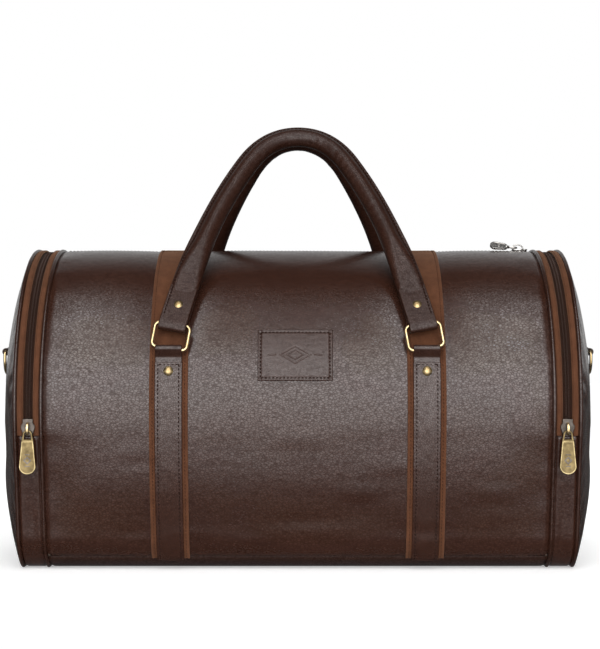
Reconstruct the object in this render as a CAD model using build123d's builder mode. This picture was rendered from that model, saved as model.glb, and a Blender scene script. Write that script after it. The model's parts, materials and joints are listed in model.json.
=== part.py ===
"""Barrel duffel bag with two handles, suede bands, an end pocket at each end and three zips.

Millimetres. The origin is on the floor under the middle of the bag. +X runs along the bag,
-Y is the front with the label patch, +Z is up.
"""

from build123d import *
from math import asin, cos, degrees, radians, sin, sqrt, tan
import os

# Barrel cross-section: a round top, straight sides that lean in below it, a flat bottom.
barrel_radius = 130.0
axis_height = 135.0
side_draft = 12.0
corner_radius = 36.0
smallest_corner = 6.0
leather = 1.8
seam_height = 10.0
seam_gap = 0.1
reach = 400.0

# Stations along X, measured from the middle of the bag.
panel_half = 202.9
inner_piping_x = 204.6
outer_piping_x = 225.5
piping_radius = 1.65
piping_sink = 0.3
end_zip_x = 214.8
end_zip_gap = 7.6

# Domed ends: distance from the middle, and how far the outline has drawn in there.
dome_stations = (
    (227.2, 1.0),
    (228.3, 4.0),
    (230.3, 10.0),
    (234.5, 22.0),
    (240.5, 45.0),
    (246.5, 75.0),
    (248.5, 95.0),
)
rim_wall = 3.0

# Zips.
main_zip_gap = 14.0
main_tape_overlap = 5.0
end_tape_overlap = 1.6
tape_thickness = 0.6
chain_width = 4.4
chain_height = 1.8
chain_round = 0.7
stop_length = 1.6
stop_gap = 0.3
end_zip_start = -11.0
end_zip_sweep = 202.0
slider_width = 11.0
slider_length = 13.0
slider_lift = 0.5
slider_plate = 1.3
slider_wall = 0.7
slider_wall_gap = 0.5
slider_corner = 2.5
bail_width = 2.2
bail_length = 5.2
bail_clear = 2.8
bail_thickness = 1.1
bail_inset = 0.4
bar_size = 1.6
bar_inset = 2.4
pull_length = 35.3
pull_bottom_radius = 6.7
pull_top_radius = 2.0
pull_top_half = 2.6
window_width = 5.8
window_length = 6.7
window_corner = 0.9
end_slider_angle = -7.3
main_slider_x = 194.0
main_window_length = 4.6
main_window_corner = 1.2
main_link_corner = 2.2
main_pull_length = 15.0
main_pull_radius = 4.8
main_pull_turn = 40.0
main_pull_rise = 6.0

# Bands, straps and patch on the outside of the barrel.
band_x = 103.0
band_width = 31.0
band_thickness = 1.2
strap_width = 22.0
strap_thickness = 1.4
strap_fold_end = 152.0
strap_fold_gap = 3.0
band_zip_gap = 1.0
layer_gap = 0.1
patch_width = 60.0
patch_height = 40.0
patch_middle = (-2.0, 174.0)
patch_thickness = 1.4

# Rectangular rings between straps and handles.
ring_wire = 1.4
ring_width = 28.2
ring_height = 20.2
ring_corner = 4.0
ring_bar_height = 180.0
ring_lean = 14.0
ring_tilt = 9.5
strap_bore = 4.0
handle_bore = 2.6
bore_overrun = 3.0

# Handles: a rolled leather tube on a leaning plane, with a flat tab at each end.
handle_lean = 34.0
handle_radius = 9.5
core_radius = 7.4
core_gap = 0.1
tab_width = 23.0
tab_thickness = 7.0
tab_end = 55.0
tab_drop = 1.5
tab_taper = 2.0
tube_start = 48.0
handle_route = ((84.0, 72.0), (60.0, 138.0), (26.0, 199.0))
handle_bends = (150.0, 120.0, 44.0)
handle_rivet_up = 17.0

# Rivets.
rivet_radius = 3.9
rivet_height = 1.7
strap_rivet_height = 162.0

# Shoulder-strap rings on the domed ends.
d_wire = 1.4
d_bar_x = 254.5
d_bar_height = 177.0
d_width = 24.0
d_drop = 18.5
d_corner = 3.0
d_bow = 11.5
loop_bore = 1.8
loop_radius = 4.2
loop_width = 17.0
loop_tab_height = 24.0
loop_tab_thickness = 1.6
loop_neck_low = 1.0

# Inside.
lining_depth = 3.0
lining_thickness = 0.6
partition_thickness = 1.2
board_thickness = 2.5
board_length = 392.0
board_width = 144.0
board_corner = 12.0

os.makedirs("parts", exist_ok=True)
barrel_axis = Axis((0, 0, axis_height), (-1, 0, 0))
sides = (("left", -1), ("right", 1))
faces = (("front", 1), ("rear", -1))


def save(builder, name):
    """Label a finished piece and write it."""
    builder.part.label = name
    export_step(builder.part, f"parts/{name}.step")


def outline(grow=0.0, floor=None):
    """Return the barrel's cross-section as a face, grown outward, with Y and Z as its axes."""
    floor = -grow if floor is None else floor
    radius = barrel_radius + grow
    lean = radians(side_draft)
    low = (radius * cos(lean), axis_height - radius * sin(lean))
    foot = (low[0] - (low[1] - floor) * tan(lean), floor)
    with BuildSketch() as section:
        with BuildLine():
            CenterArc((0, axis_height), radius, -side_draft, 180 + 2 * side_draft)
            Polyline((-low[0], low[1]), (-foot[0], foot[1]), foot, low)
        make_face()
        fillet(section.vertices().group_by(Axis.Y)[0], max(corner_radius + grow, smallest_corner))
    return section.sketch


def wall(outer, inner, x_from, x_to, y_from, y_to, z_from, z_to):
    """Extrude the wall between two outlines along X, keeping only the part inside a window."""
    with BuildSketch(Plane.YZ.offset(x_from)) as slice_of_wall:
        add(outline(outer))
        add(outline(inner), mode=Mode.SUBTRACT)
        with Locations(((y_from + y_to) / 2, (z_from + z_to) / 2)):
            Rectangle(y_to - y_from, z_to - z_from, mode=Mode.INTERSECT)
    extrude(slice_of_wall.sketch, amount=x_to - x_from)


def radial_plane(angle, x=0.0, radius=0.0):
    """Return the plane through the barrel's axis at an angle up from the front, x along X."""
    out = Vector(0, -cos(radians(angle)), sin(radians(angle)))
    return Plane(
        origin=Vector(x, 0, axis_height) + out * radius,
        x_dir=(1, 0, 0),
        z_dir=Vector(1, 0, 0).cross(out),
    )


def hoop(x_from, x_to, r_from, r_to, start, sweep_angle, mode=Mode.ADD):
    """Revolve a small rectangle about the barrel's axis, from an angle up from the front."""
    with BuildSketch(radial_plane(start)) as strip:
        with Locations(((x_from + x_to) / 2, (r_from + r_to) / 2)):
            Rectangle(x_to - x_from, r_to - r_from)
    revolve(strip.sketch, axis=barrel_axis, revolution_arc=sweep_angle, mode=mode)


def mirrored(low, high, side):
    """Return the interval between two distances from the middle, on one side of it."""
    return (low, high) if side > 0 else (-high, -low)


def block(x_from, x_to, y_from, y_to, z_from, z_to, mode=Mode.ADD):
    """Make a box between three pairs of limits."""
    with Locations(((x_from + x_to) / 2, (y_from + y_to) / 2, (z_from + z_to) / 2)):
        Box(x_to - x_from, y_to - y_from, z_to - z_from, mode=mode)


def dome(plane, radius, height):
    """Make a rivet's domed cap, standing on a plane."""
    ball = (radius**2 + height**2) / (2 * height)
    with BuildSketch(Plane(origin=plane.origin, x_dir=plane.x_dir, z_dir=-plane.y_dir)) as half:
        with BuildLine():
            Line((0, 0), (radius, 0))
            RadiusArc((radius, 0), (0, height), -ball)
            Line((0, height), (0, 0))
        make_face()
    revolve(half.sketch, axis=Axis(plane.origin, plane.z_dir))


def tube(path, radius, mode=Mode.ADD):
    """Sweep a disc along a path."""
    with BuildSketch(Plane(origin=path @ 0, z_dir=path % 0)) as disc:
        Circle(radius)
    sweep(disc.sketch, path=path, mode=mode)


# ---- Shell ----

for name, y_range in (
    ("front_panel", (-reach, -main_zip_gap / 2)),
    ("rear_panel", (main_zip_gap / 2, reach)),
):
    with BuildPart() as panel:
        wall(0, -leather, -panel_half, panel_half, *y_range, seam_height, reach)
    save(panel, name)

with BuildPart() as base_panel:
    wall(0, -leather, -panel_half, panel_half, -reach, reach, -reach, seam_height - seam_gap)
save(base_panel, "base_panel")

lining_inner = -lining_depth - lining_thickness
tape_half = main_zip_gap / 2 + main_tape_overlap
with BuildPart() as main_lining:
    lining_half = panel_half - partition_thickness - 4 * seam_gap
    wall(-lining_depth, lining_inner, -lining_half, lining_half, -reach, reach, -reach, reach)
    block(-reach, reach, -tape_half, tape_half, axis_height, reach, mode=Mode.SUBTRACT)
save(main_lining, "main_lining")

with BuildPart() as base_board:
    board_low = -lining_inner + seam_gap
    with BuildSketch(Plane.XY.offset(board_low)):
        RectangleRounded(board_length, board_width, board_corner)
    extrude(amount=board_thickness)
save(base_board, "base_board")

dome_rim, rim_inset = dome_stations[0]
dome_hollow = [(dome_rim, rim_inset + rim_wall)]
dome_hollow += [(station - leather, inset + leather) for station, inset in dome_stations[2:]]

for side_name, side in sides:
    wall_from, wall_to = mirrored(
        panel_half - partition_thickness - seam_gap, panel_half - seam_gap, side
    )
    with BuildPart() as partition:
        with BuildSketch(Plane.YZ.offset(wall_from)):
            add(outline(-leather - seam_gap))
        extrude(amount=wall_to - wall_from)
    save(partition, f"{side_name}_partition")

    gusset_low, gusset_high = mirrored(
        inner_piping_x + piping_radius + seam_gap / 2,
        outer_piping_x - piping_radius - seam_gap / 2,
        side,
    )
    gusset_top = axis_height + barrel_radius * sin(radians(end_zip_start)) - seam_gap
    with BuildPart() as gusset:
        wall(0, -leather, gusset_low, gusset_high, -reach, reach, -reach, gusset_top)
    save(gusset, f"{side_name}_lower_gusset")

    zip_low, zip_high = mirrored(end_zip_x - end_zip_gap / 2, end_zip_x + end_zip_gap / 2, side)
    inner_edge, outer_edge = (gusset_low, gusset_high) if side > 0 else (gusset_high, gusset_low)
    inner_zip, outer_zip = (zip_low, zip_high) if side > 0 else (zip_high, zip_low)
    for trim_name, edges in (
        ("inner", sorted((inner_edge, inner_zip))),
        ("outer", sorted((outer_edge, outer_zip))),
    ):
        with BuildPart() as trim:
            hoop(*edges, barrel_radius - leather, barrel_radius, end_zip_start, end_zip_sweep)
        save(trim, f"{side_name}_{trim_name}_zip_trim")

    for piping_name, station in (("inner", inner_piping_x), ("outer", outer_piping_x)):
        with BuildPart() as piping:
            rim = outline(-piping_sink, floor=piping_radius).face().outer_wire()
            tube(Plane.YZ.offset(side * station).location * rim, piping_radius)
        save(piping, f"{side_name}_{piping_name}_piping")

    with BuildPart() as end_panel:
        for profile, mode in ((dome_stations, Mode.ADD), (dome_hollow, Mode.SUBTRACT)):
            for station, inset in profile:
                with BuildSketch(Plane.YZ.offset(side * station)):
                    add(outline(-inset))
            loft(ruled=True, mode=mode)
    save(end_panel, f"{side_name}_end_panel")

# ---- Zips ----

tape_outer = barrel_radius - leather - 2 * seam_gap
tape_inner = tape_outer - tape_thickness
chain_outer = tape_outer + chain_height
channel_half = chain_width / 2 + slider_wall_gap
plate_inner = barrel_radius + slider_lift
plate_outer = plate_inner + slider_plate
bail_inner = plate_outer + bail_clear
bail_outer = bail_inner + bail_thickness
bar_radius_out = plate_outer + bail_clear / 2
degrees_per_mm = degrees(1 / barrel_radius)

tape_angle = degrees(asin(tape_half / barrel_radius))
tape_end = panel_half - partition_thickness - 2 * seam_gap
with BuildPart() as main_zip_tape:
    hoop(-tape_end, tape_end, tape_inner, tape_outer, 90 - tape_angle, 2 * tape_angle)
save(main_zip_tape, "main_zip_tape")

chain_half = tape_end - stop_length - 2 * stop_gap
chain_y = chain_width / 2
main_chain_low = axis_height + tape_outer + seam_gap / 2
main_chain_high = axis_height + chain_outer
with BuildPart() as main_zip_chain:
    block(-chain_half, chain_half, -chain_y, chain_y, main_chain_low, main_chain_high)
    fillet(main_zip_chain.edges().filter_by(Axis.X).group_by(Axis.Z)[-1], chain_round)
save(main_zip_chain, "main_zip_chain")

for side_name, side in sides:
    centre = side * end_zip_x
    tape_edge = end_zip_gap / 2 + end_tape_overlap
    with BuildPart() as end_tape:
        hoop(centre - tape_edge, centre + tape_edge, tape_inner, tape_outer, end_zip_start, end_zip_sweep)
    save(end_tape, f"{side_name}_zip_tape")
    stop_angle = (stop_length + stop_gap) * degrees_per_mm
    with BuildPart() as end_chain:
        hoop(
            centre - chain_y,
            centre + chain_y,
            tape_outer + seam_gap / 2,
            chain_outer,
            end_zip_start + stop_angle,
            end_zip_sweep - 2 * stop_angle,
        )
    save(end_chain, f"{side_name}_zip_chain")

with BuildPart() as zip_end_stops:
    for side in (-1, 1):
        low, high = mirrored(chain_half + stop_gap, chain_half + stop_gap + stop_length, side)
        block(low, high, -chain_y, chain_y, main_chain_low, main_chain_high)
        for start in (end_zip_start, end_zip_start + end_zip_sweep - stop_length * degrees_per_mm):
            hoop(
                side * end_zip_x - chain_y,
                side * end_zip_x + chain_y,
                tape_outer + seam_gap / 2,
                chain_outer,
                start,
                stop_length * degrees_per_mm,
            )
save(zip_end_stops, "zip_end_stops")


def pull_plate(plane, length, bottom_radius):
    """Make a drop-shaped pull with a window, hanging down a plane's -Y from its cross bar."""
    bottom = length - bar_size / 2 - bottom_radius
    top = bar_size / 2 - pull_top_radius
    with BuildSketch(plane) as drop:
        with Locations((0, -bottom)):
            Circle(bottom_radius)
        with Locations((-pull_top_half, top), (pull_top_half, top)):
            Circle(pull_top_radius)
        make_hull()
        with Locations((0, -(bar_size / 2 + window_length / 2))):
            RectangleRounded(window_width, window_length, window_corner, mode=Mode.SUBTRACT)
    extrude(drop.sketch, amount=bar_size / 2, both=True)


# The end sliders ride round the barrel's axis, so every face of theirs is a hoop about it.
for side_name, side in sides:
    centre = side * end_zip_x
    slider_sweep = slider_length * degrees_per_mm
    slider_start = end_slider_angle - slider_sweep / 2
    bail_start = slider_start + bail_inset * degrees_per_mm
    bail_sweep = bail_length * degrees_per_mm
    leg_sweep = bail_thickness * degrees_per_mm
    with BuildPart() as slider:
        hoop(
            centre - slider_width / 2,
            centre + slider_width / 2,
            plate_inner,
            plate_outer,
            slider_start,
            slider_sweep,
        )
        for wall_from in (centre - channel_half - slider_wall, centre + channel_half):
            hoop(
                wall_from,
                wall_from + slider_wall,
                tape_outer + 2 * seam_gap,
                plate_inner + seam_gap,
                slider_start,
                slider_sweep,
            )
        bail_edges = (centre - bail_width / 2, centre + bail_width / 2)
        hoop(*bail_edges, bail_inner, bail_outer, bail_start, bail_sweep)
        for leg_start in (bail_start, bail_start + bail_sweep - leg_sweep):
            hoop(*bail_edges, plate_outer - seam_gap, bail_inner + seam_gap, leg_start, leg_sweep)
    save(slider, f"{side_name}_slider")

    bar_angle = radians(bail_start + bar_inset * degrees_per_mm)
    bar_y = -bar_radius_out * cos(bar_angle)
    bar_z = axis_height + bar_radius_out * sin(bar_angle)
    with BuildPart() as pull:
        bar_plane = Plane(origin=(centre, bar_y, bar_z), x_dir=(1, 0, 0), z_dir=(0, -1, 0))
        pull_plate(bar_plane, pull_length, pull_bottom_radius)
    save(pull, f"{side_name}_pull")

slider_half = slider_length / 2
main_plate_low = axis_height + plate_inner
main_plate_high = axis_height + plate_outer
main_bail_low = axis_height + bail_inner
with BuildPart() as main_slider:
    x_low = main_slider_x - slider_half
    x_high = main_slider_x + slider_half
    block(x_low, x_high, -slider_width / 2, slider_width / 2, main_plate_low, main_plate_high)
    fillet(main_slider.edges().filter_by(Axis.Z), slider_corner)
    for wall_side in (-1, 1):
        y_low, y_high = mirrored(channel_half, channel_half + slider_wall, wall_side)
        wall_low = axis_height + tape_outer + 2 * seam_gap
        block(x_low, x_high, y_low, y_high, wall_low, main_plate_low + seam_gap)
    bail_half = bail_width / 2
    bail_x = x_low + bail_inset
    bail_top = main_bail_low + bail_thickness
    block(bail_x, bail_x + bail_length, -bail_half, bail_half, main_bail_low, bail_top)
    for leg_x in (bail_x, bail_x + bail_length - bail_thickness):
        leg_low = main_plate_high - seam_gap
        leg_high = main_bail_low + seam_gap
        block(leg_x, leg_x + bail_thickness, -bail_half, bail_half, leg_low, leg_high)
save(main_slider, "main_slider")

main_bar = (bail_x + bar_inset, 0, axis_height + bar_radius_out)
turn = radians(main_pull_turn)
rise = radians(main_pull_rise)
link_plane = Plane(origin=main_bar, x_dir=(0, 1, 0), z_dir=(sin(rise), 0, cos(rise)))
plate_start = link_plane.from_local_coords((0, main_window_length + 1.5 * bar_size, 0))
plate_across = link_plane.x_dir * cos(turn) + link_plane.z_dir * sin(turn)
plate_plane = Plane(origin=plate_start, x_dir=plate_across, z_dir=plate_across.cross(link_plane.y_dir))
with BuildPart() as main_pull:
    with BuildSketch(link_plane):
        with Locations((0, (main_window_length + bar_size) / 2)):
            link_length = main_window_length + 2 * bar_size
            RectangleRounded(window_width + 2 * bar_size, link_length, main_link_corner)
            RectangleRounded(window_width, main_window_length, main_window_corner, mode=Mode.SUBTRACT)
    extrude(amount=bar_size / 2, both=True)
    with BuildSketch(plate_plane):
        with Locations((0, main_pull_length - main_pull_radius)):
            Circle(main_pull_radius)
        with Locations((0, 0)):
            Circle(pull_top_radius)
        make_hull()
    extrude(amount=bar_size / 2, both=True)
save(main_pull, "main_pull")

# ---- Bands, straps, rings and handles ----

band_low = layer_gap
band_high = band_low + band_thickness
strap_low = band_high + layer_gap
strap_high = strap_low + strap_thickness
bar_distance = barrel_radius + strap_low + strap_bore + strap_thickness
bar_depth = sqrt(bar_distance**2 - (ring_bar_height - axis_height) ** 2)
lean = radians(ring_lean)
tilt = radians(ring_tilt)
slant = radians(handle_lean)
upper_depth = bar_depth - ring_height * cos(tilt) * sin(lean)
upper_height = ring_bar_height + ring_height * cos(tilt) * cos(lean)


def outside_plane(height, grow):
    """Return the tangent plane on the front of the barrel at a height, x along X."""
    angle = degrees(asin((height - axis_height) / (barrel_radius + grow)))
    out = Vector(0, -cos(radians(angle)), sin(radians(angle)))
    middle = Vector(0, 0, axis_height)
    return Plane(origin=middle + out * (barrel_radius + grow), x_dir=(1, 0, 0), z_dir=out)


def shifted(plane, x):
    """Return a plane moved along X."""
    return Plane(origin=plane.origin + Vector(x, 0, 0), x_dir=plane.x_dir, z_dir=plane.z_dir)


def bar_frame(side):
    """Return one front ring's directions: along its bars, and up its side wires."""
    lean_up = Vector(0, sin(lean), cos(lean))
    along = Vector(1, 0, 0) * cos(tilt) + lean_up * (side * sin(tilt))
    up = lean_up * cos(tilt) - Vector(1, 0, 0) * (side * sin(tilt))
    return along, up


def turned(shape, face):
    """Leave a front piece where it is, or turn it half round to the rear."""
    return shape if face > 0 else shape.rotate(Axis.Z, 180)


def to_face(builder, face, name):
    """Save a piece that was built on the front, on the front or turned to the rear."""
    with BuildPart() as placed:
        add(turned(builder.part, face))
    save(placed, name)


handle_plane = Plane(
    origin=(0, -upper_depth, upper_height),
    x_dir=(1, 0, 0),
    z_dir=(0, -cos(slant), sin(slant)),
)

for face_name, face in faces:
    for side_name, side in sides:
        x = side * band_x
        turned_name = f"{face_name}_{side_name if face > 0 else ('right' if side < 0 else 'left')}"

        with BuildPart() as band:
            wall(
                band_high,
                band_low,
                x - band_width / 2,
                x + band_width / 2,
                -reach,
                -main_zip_gap / 2 - band_zip_gap,
                seam_height,
                reach,
            )
        to_face(band, face, f"{turned_name}_band")

        bar_centre = Vector(x, -bar_depth, ring_bar_height)
        with BuildPart() as strap:
            edges = (x - strap_width / 2, x + strap_width / 2)
            fold_plane = Plane(origin=bar_centre - Vector(strap_width / 2, 0, 0), z_dir=(1, 0, 0))
            wall(strap_high, strap_low, *edges, -reach, 0, seam_height, ring_bar_height)
            wall(
                strap_high + strap_thickness,
                strap_high - layer_gap,
                *edges,
                -reach,
                0,
                strap_fold_end,
                ring_bar_height - strap_fold_gap,
            )
            with BuildSketch(fold_plane):
                Circle(strap_bore + strap_thickness)
            extrude(amount=strap_width)
            with BuildSketch(fold_plane):
                Circle(strap_bore)
            extrude(amount=strap_width, mode=Mode.SUBTRACT)
        to_face(strap, face, f"{turned_name}_strap")

        along, up = bar_frame(side)
        ring_plane = Plane(origin=bar_centre + up * (ring_height / 2), x_dir=along, z_dir=along.cross(up))
        with BuildPart() as ring:
            with BuildLine(ring_plane) as loop_line:
                half_w = ring_width / 2
                half_h = ring_height / 2
                FilletPolyline(
                    (0, -half_h),
                    (half_w, -half_h),
                    (half_w, half_h),
                    (-half_w, half_h),
                    (-half_w, -half_h),
                    radius=(0, ring_corner, ring_corner, ring_corner, ring_corner),
                    close=True,
                )
            tube(loop_line.wire(), ring_wire)
        to_face(ring, face, f"{turned_name}_ring")

    upper_x = band_x - ring_height * sin(tilt)
    leg = Vector(handle_route[0][0] - upper_x, handle_route[0][1])
    foot_x = upper_x + leg.X * tube_start / leg.Y
    points = [(foot_x, tube_start)] + list(handle_route)
    points = [(-px, py) for px, py in points] + [(px, py) for px, py in reversed(points)]
    with BuildLine(handle_plane) as handle_line:
        FilletPolyline(*points, radius=list(handle_bends) + list(reversed(handle_bends)))
    with BuildPart() as cover:
        tube(handle_line.wire(), handle_radius)
        for side in (-1, 1):
            with BuildSketch(handle_plane):
                with BuildLine():
                    edge = tab_width / 2
                    low = handle_bore + strap_thickness / 2
                    slope = leg.X / leg.Y
                    Polyline(
                        (side * upper_x - edge, low - tab_drop),
                        (side * upper_x + edge, low - tab_drop),
                        (side * (upper_x + slope * tab_end) + edge - tab_taper, tab_end),
                        (side * (upper_x + slope * tab_end) - edge + tab_taper, tab_end),
                        close=True,
                    )
                make_face()
            extrude(amount=tab_thickness / 2, both=True)
        tube(handle_line.wire(), core_radius + core_gap, mode=Mode.SUBTRACT)
        for side in (-1, 1):
            along, up = bar_frame(side)
            centre = Vector(side * upper_x, -upper_depth, upper_height)
            loop_plane = Plane(origin=centre - along * (tab_width / 2), z_dir=along)
            with BuildSketch(loop_plane):
                Circle(handle_bore + strap_thickness)
            extrude(amount=tab_width)
            with BuildSketch(loop_plane.offset(-bore_overrun)):
                Circle(handle_bore)
            extrude(amount=tab_width + 2 * bore_overrun, mode=Mode.SUBTRACT)
    to_face(cover, face, f"{face_name}_handle_cover")

    with BuildPart() as core:
        tube(handle_line.wire(), core_radius)
    to_face(core, face, f"{face_name}_handle_core")

    with BuildPart() as handle_rivets:
        for side in (-1, 1):
            rivet_x = side * (upper_x + leg.X / leg.Y * handle_rivet_up)
            spot = handle_plane.from_local_coords((rivet_x, handle_rivet_up, tab_thickness / 2 + layer_gap))
            dome(Plane(origin=spot, x_dir=(1, 0, 0), z_dir=handle_plane.z_dir), rivet_radius, rivet_height)
    to_face(handle_rivets, face, f"{face_name}_handle_rivets")

with BuildPart() as strap_rivets:
    rivet_plane = outside_plane(strap_rivet_height, strap_high + strap_thickness + layer_gap)
    for half_turn in (0, 180):
        for side in (-1, 1):
            base = shifted(rivet_plane, side * band_x)
            spun = Plane(
                origin=base.origin.rotate(Axis.Z, half_turn),
                x_dir=base.x_dir.rotate(Axis.Z, half_turn),
                z_dir=base.z_dir.rotate(Axis.Z, half_turn),
            )
            dome(spun, rivet_radius, rivet_height)
save(strap_rivets, "strap_rivets")

with BuildPart() as front_patch:
    patch_x, patch_z = patch_middle
    wall(
        layer_gap + patch_thickness,
        layer_gap,
        patch_x - patch_width / 2,
        patch_x + patch_width / 2,
        -reach,
        0,
        patch_z - patch_height / 2,
        patch_z + patch_height / 2,
    )
save(front_patch, "front_patch")

# ---- Shoulder-strap rings ----


def dome_face(height):
    """Return how far out a dome reaches at a height, midway between front and rear."""
    inset = axis_height + barrel_radius - height
    for (near, shallow), (far, deep) in zip(dome_stations, dome_stations[1:]):
        if shallow <= inset <= deep:
            return near + (far - near) * (inset - shallow) / (deep - shallow)


dome_bend = axis_height + barrel_radius - dome_stations[-2][1]
tab_heights = (d_bar_height, dome_bend, d_bar_height + loop_tab_height)
tab_inner = [(dome_face(height) + seam_gap, height) for height in tab_heights]
tab_outer = [(x + loop_tab_thickness, height) for x, height in reversed(tab_inner)]

for side_name, side in sides:
    bar = Vector(side * d_bar_x, 0, d_bar_height)
    tab_from = dome_stations[-1][0] + seam_gap
    with BuildPart() as ring_loop:
        with BuildSketch(Plane.XZ):
            with BuildLine():
                Polyline([(side * x, height) for x, height in tab_inner + tab_outer], close=True)
            make_face()
        extrude(amount=loop_width / 2, both=True)
        low, high = mirrored(tab_from, d_bar_x, side)
        neck_low = d_bar_height + loop_neck_low
        block(low, high, -loop_width / 2, loop_width / 2, neck_low, d_bar_height + loop_radius)
        loop_plane = Plane(origin=bar - Vector(0, loop_width / 2, 0), x_dir=(1, 0, 0), z_dir=(0, 1, 0))
        with BuildSketch(loop_plane):
            Circle(loop_radius)
        extrude(amount=loop_width)
        with BuildSketch(loop_plane):
            Circle(loop_bore)
        extrude(amount=loop_width, mode=Mode.SUBTRACT)
    save(ring_loop, f"{side_name}_ring_loop")

    with BuildPart() as d_ring:
        with BuildLine(Plane(origin=bar, x_dir=(0, 1, 0), z_dir=(1, 0, 0))) as d_line:
            half_w = d_width / 2
            FilletPolyline(
                (0, 0),
                (half_w, 0),
                (half_w, -d_drop),
                (-half_w, -d_drop),
                (-half_w, 0),
                radius=(0, d_corner, d_bow, d_bow, d_corner),
                close=True,
            )
        tube(d_line.wire(), d_wire)
    save(d_ring, f"{side_name}_d_ring")
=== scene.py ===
import json
from math import acos, asin, atan2, cos, pi, radians, sin, sqrt, tan

import bmesh
import bpy
import numpy as np
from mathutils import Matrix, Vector


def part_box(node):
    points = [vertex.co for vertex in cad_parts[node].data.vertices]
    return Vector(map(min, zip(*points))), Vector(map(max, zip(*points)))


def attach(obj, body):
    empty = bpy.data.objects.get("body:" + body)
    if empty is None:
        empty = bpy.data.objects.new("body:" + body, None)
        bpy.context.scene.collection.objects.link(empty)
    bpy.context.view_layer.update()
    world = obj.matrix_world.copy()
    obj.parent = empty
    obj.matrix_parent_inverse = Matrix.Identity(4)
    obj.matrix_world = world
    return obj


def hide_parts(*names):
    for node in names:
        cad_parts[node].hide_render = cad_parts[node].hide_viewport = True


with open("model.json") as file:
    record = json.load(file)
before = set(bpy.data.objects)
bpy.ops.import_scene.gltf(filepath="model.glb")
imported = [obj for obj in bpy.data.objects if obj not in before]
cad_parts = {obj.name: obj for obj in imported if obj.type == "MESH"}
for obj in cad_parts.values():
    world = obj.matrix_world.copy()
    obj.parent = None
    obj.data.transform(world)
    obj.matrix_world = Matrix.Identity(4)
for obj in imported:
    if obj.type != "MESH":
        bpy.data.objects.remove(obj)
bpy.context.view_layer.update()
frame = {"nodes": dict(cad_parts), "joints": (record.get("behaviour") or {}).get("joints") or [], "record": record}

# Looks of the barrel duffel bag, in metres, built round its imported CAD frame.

MM = 0.001

# ---- Places read from the frame ----

joints = {joint["name"]: joint for joint in frame["joints"]}


def joint_at(name):
    return np.array(joints[name]["pos_m"], float)


def middle(node):
    low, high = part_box(node)
    return np.array((low + high) / 2)


def size(node):
    low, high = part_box(node)
    return np.array(high - low)


panel_low, panel_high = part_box("front_panel")
RADIUS = -panel_low.y
ZIP_EDGE = -panel_high.y
AXIS = panel_high.z - sqrt(RADIUS**2 - ZIP_EDGE**2)
PANEL_END = panel_high.x
SEAM = panel_low.z
BAND_X = middle("front_right_band")[0]
BAND_W = size("front_right_band")[0]
STRAP_W = size("front_right_strap")[0]
PIPE_IN = middle("right_inner_piping")[0]
PIPE_OUT = middle("right_outer_piping")[0]
PIPE_R = size("right_inner_piping")[0] / 2
END_ZIP = middle("right_zip_chain")[0]
CHAIN_W = size("right_zip_chain")[0]
TRIM_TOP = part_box("right_inner_zip_trim")[0].z

# The outline below the round top: sides that lean in, rounded corners, flat bottom.
DRAFT = radians(12)
CORNER = 36 * MM

# Heights above the barrel's leather, and thicknesses.
BAND_H = 1.3 * MM
STRAP_H = 2.8 * MM
TAPE_H = -2.0 * MM
COIL_H = -1.2 * MM
PANEL_THICK = 1.8 * MM
TAPE_THICK = 0.6 * MM
TAPE_GAP = 0.3 * MM
EDGE_R = 0.7 * MM

# Sewing: how deep and wide its groove is, how far in from an edge it runs, and the stitches'
# pitch, length, width and lift.
GROOVE_DEPTH, GROOVE_WIDTH = 0.42 * MM, 0.95 * MM
BAND_INSET, STRAP_INSET, PATCH_INSET = 2.6 * MM, 2.7 * MM, 2.2 * MM
TRIM_SEWING = (2.8 * MM, 2.0 * MM, 0.4 * MM, 0.05 * MM)
GUSSET_SEWING = (2.8 * MM, 2.0 * MM, 0.45 * MM)
TAPE_SEWING = (2.0 * MM, 1.5 * MM, 0.35 * MM)
MOUTH_SEWING = (3.1 * MM, 2.2 * MM)
BAND_SEWING = (3.0 * MM, 2.2 * MM, 0.5 * MM)
PATCH_SEWING = (2.8 * MM, 2.1 * MM, 0.9 * MM)
HANDLE_SEWING = (3.3 * MM, 2.3 * MM, 1.25 * MM, 0.3 * MM)

SIDES = (("left", -1), ("right", 1))
FACES = (("front", 1), ("rear", -1))

# ---- The barrel's surface ----

low_y = RADIUS * cos(DRAFT)
low_z = AXIS - RADIUS * sin(DRAFT)
foot_y = low_y - low_z * tan(DRAFT)
corner_run = CORNER * tan((pi / 2 - DRAFT) / 2)
corner_y = foot_y - corner_run
ARC = RADIUS * (pi / 2 + DRAFT)
SIDE = ARC + low_z / cos(DRAFT) - corner_run
TURN = SIDE + CORNER * (pi / 2 - DRAFT)
HALF = TURN + corner_y


def section(t):
    """Return y, z and the outward normal at arc lengths from the top: front below 0, rear above."""
    s = np.abs(t)
    hand = np.where(t < 0, -1.0, 1.0)
    phi = s / RADIUS
    lean, fall, level = cos(DRAFT), sin(DRAFT), 0 * s
    tip = DRAFT + (s - SIDE) / CORNER
    place = RADIUS * np.sin(phi), AXIS + RADIUS * np.cos(phi), np.sin(phi), np.cos(phi)
    for start, *further in (
        (ARC, low_y - (s - ARC) * fall, low_z - (s - ARC) * lean, lean + level, level - fall),
        (SIDE, corner_y + CORNER * np.cos(tip), CORNER - CORNER * np.sin(tip), np.cos(tip), -np.sin(tip)),
        (TURN, corner_y - (s - TURN), level, level, level - 1),
    ):
        place = [np.where(s > start, new, old) for new, old in zip(further, place)]
    y, z, ny, nz = place
    return y * hand, z, ny * hand, nz


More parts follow.
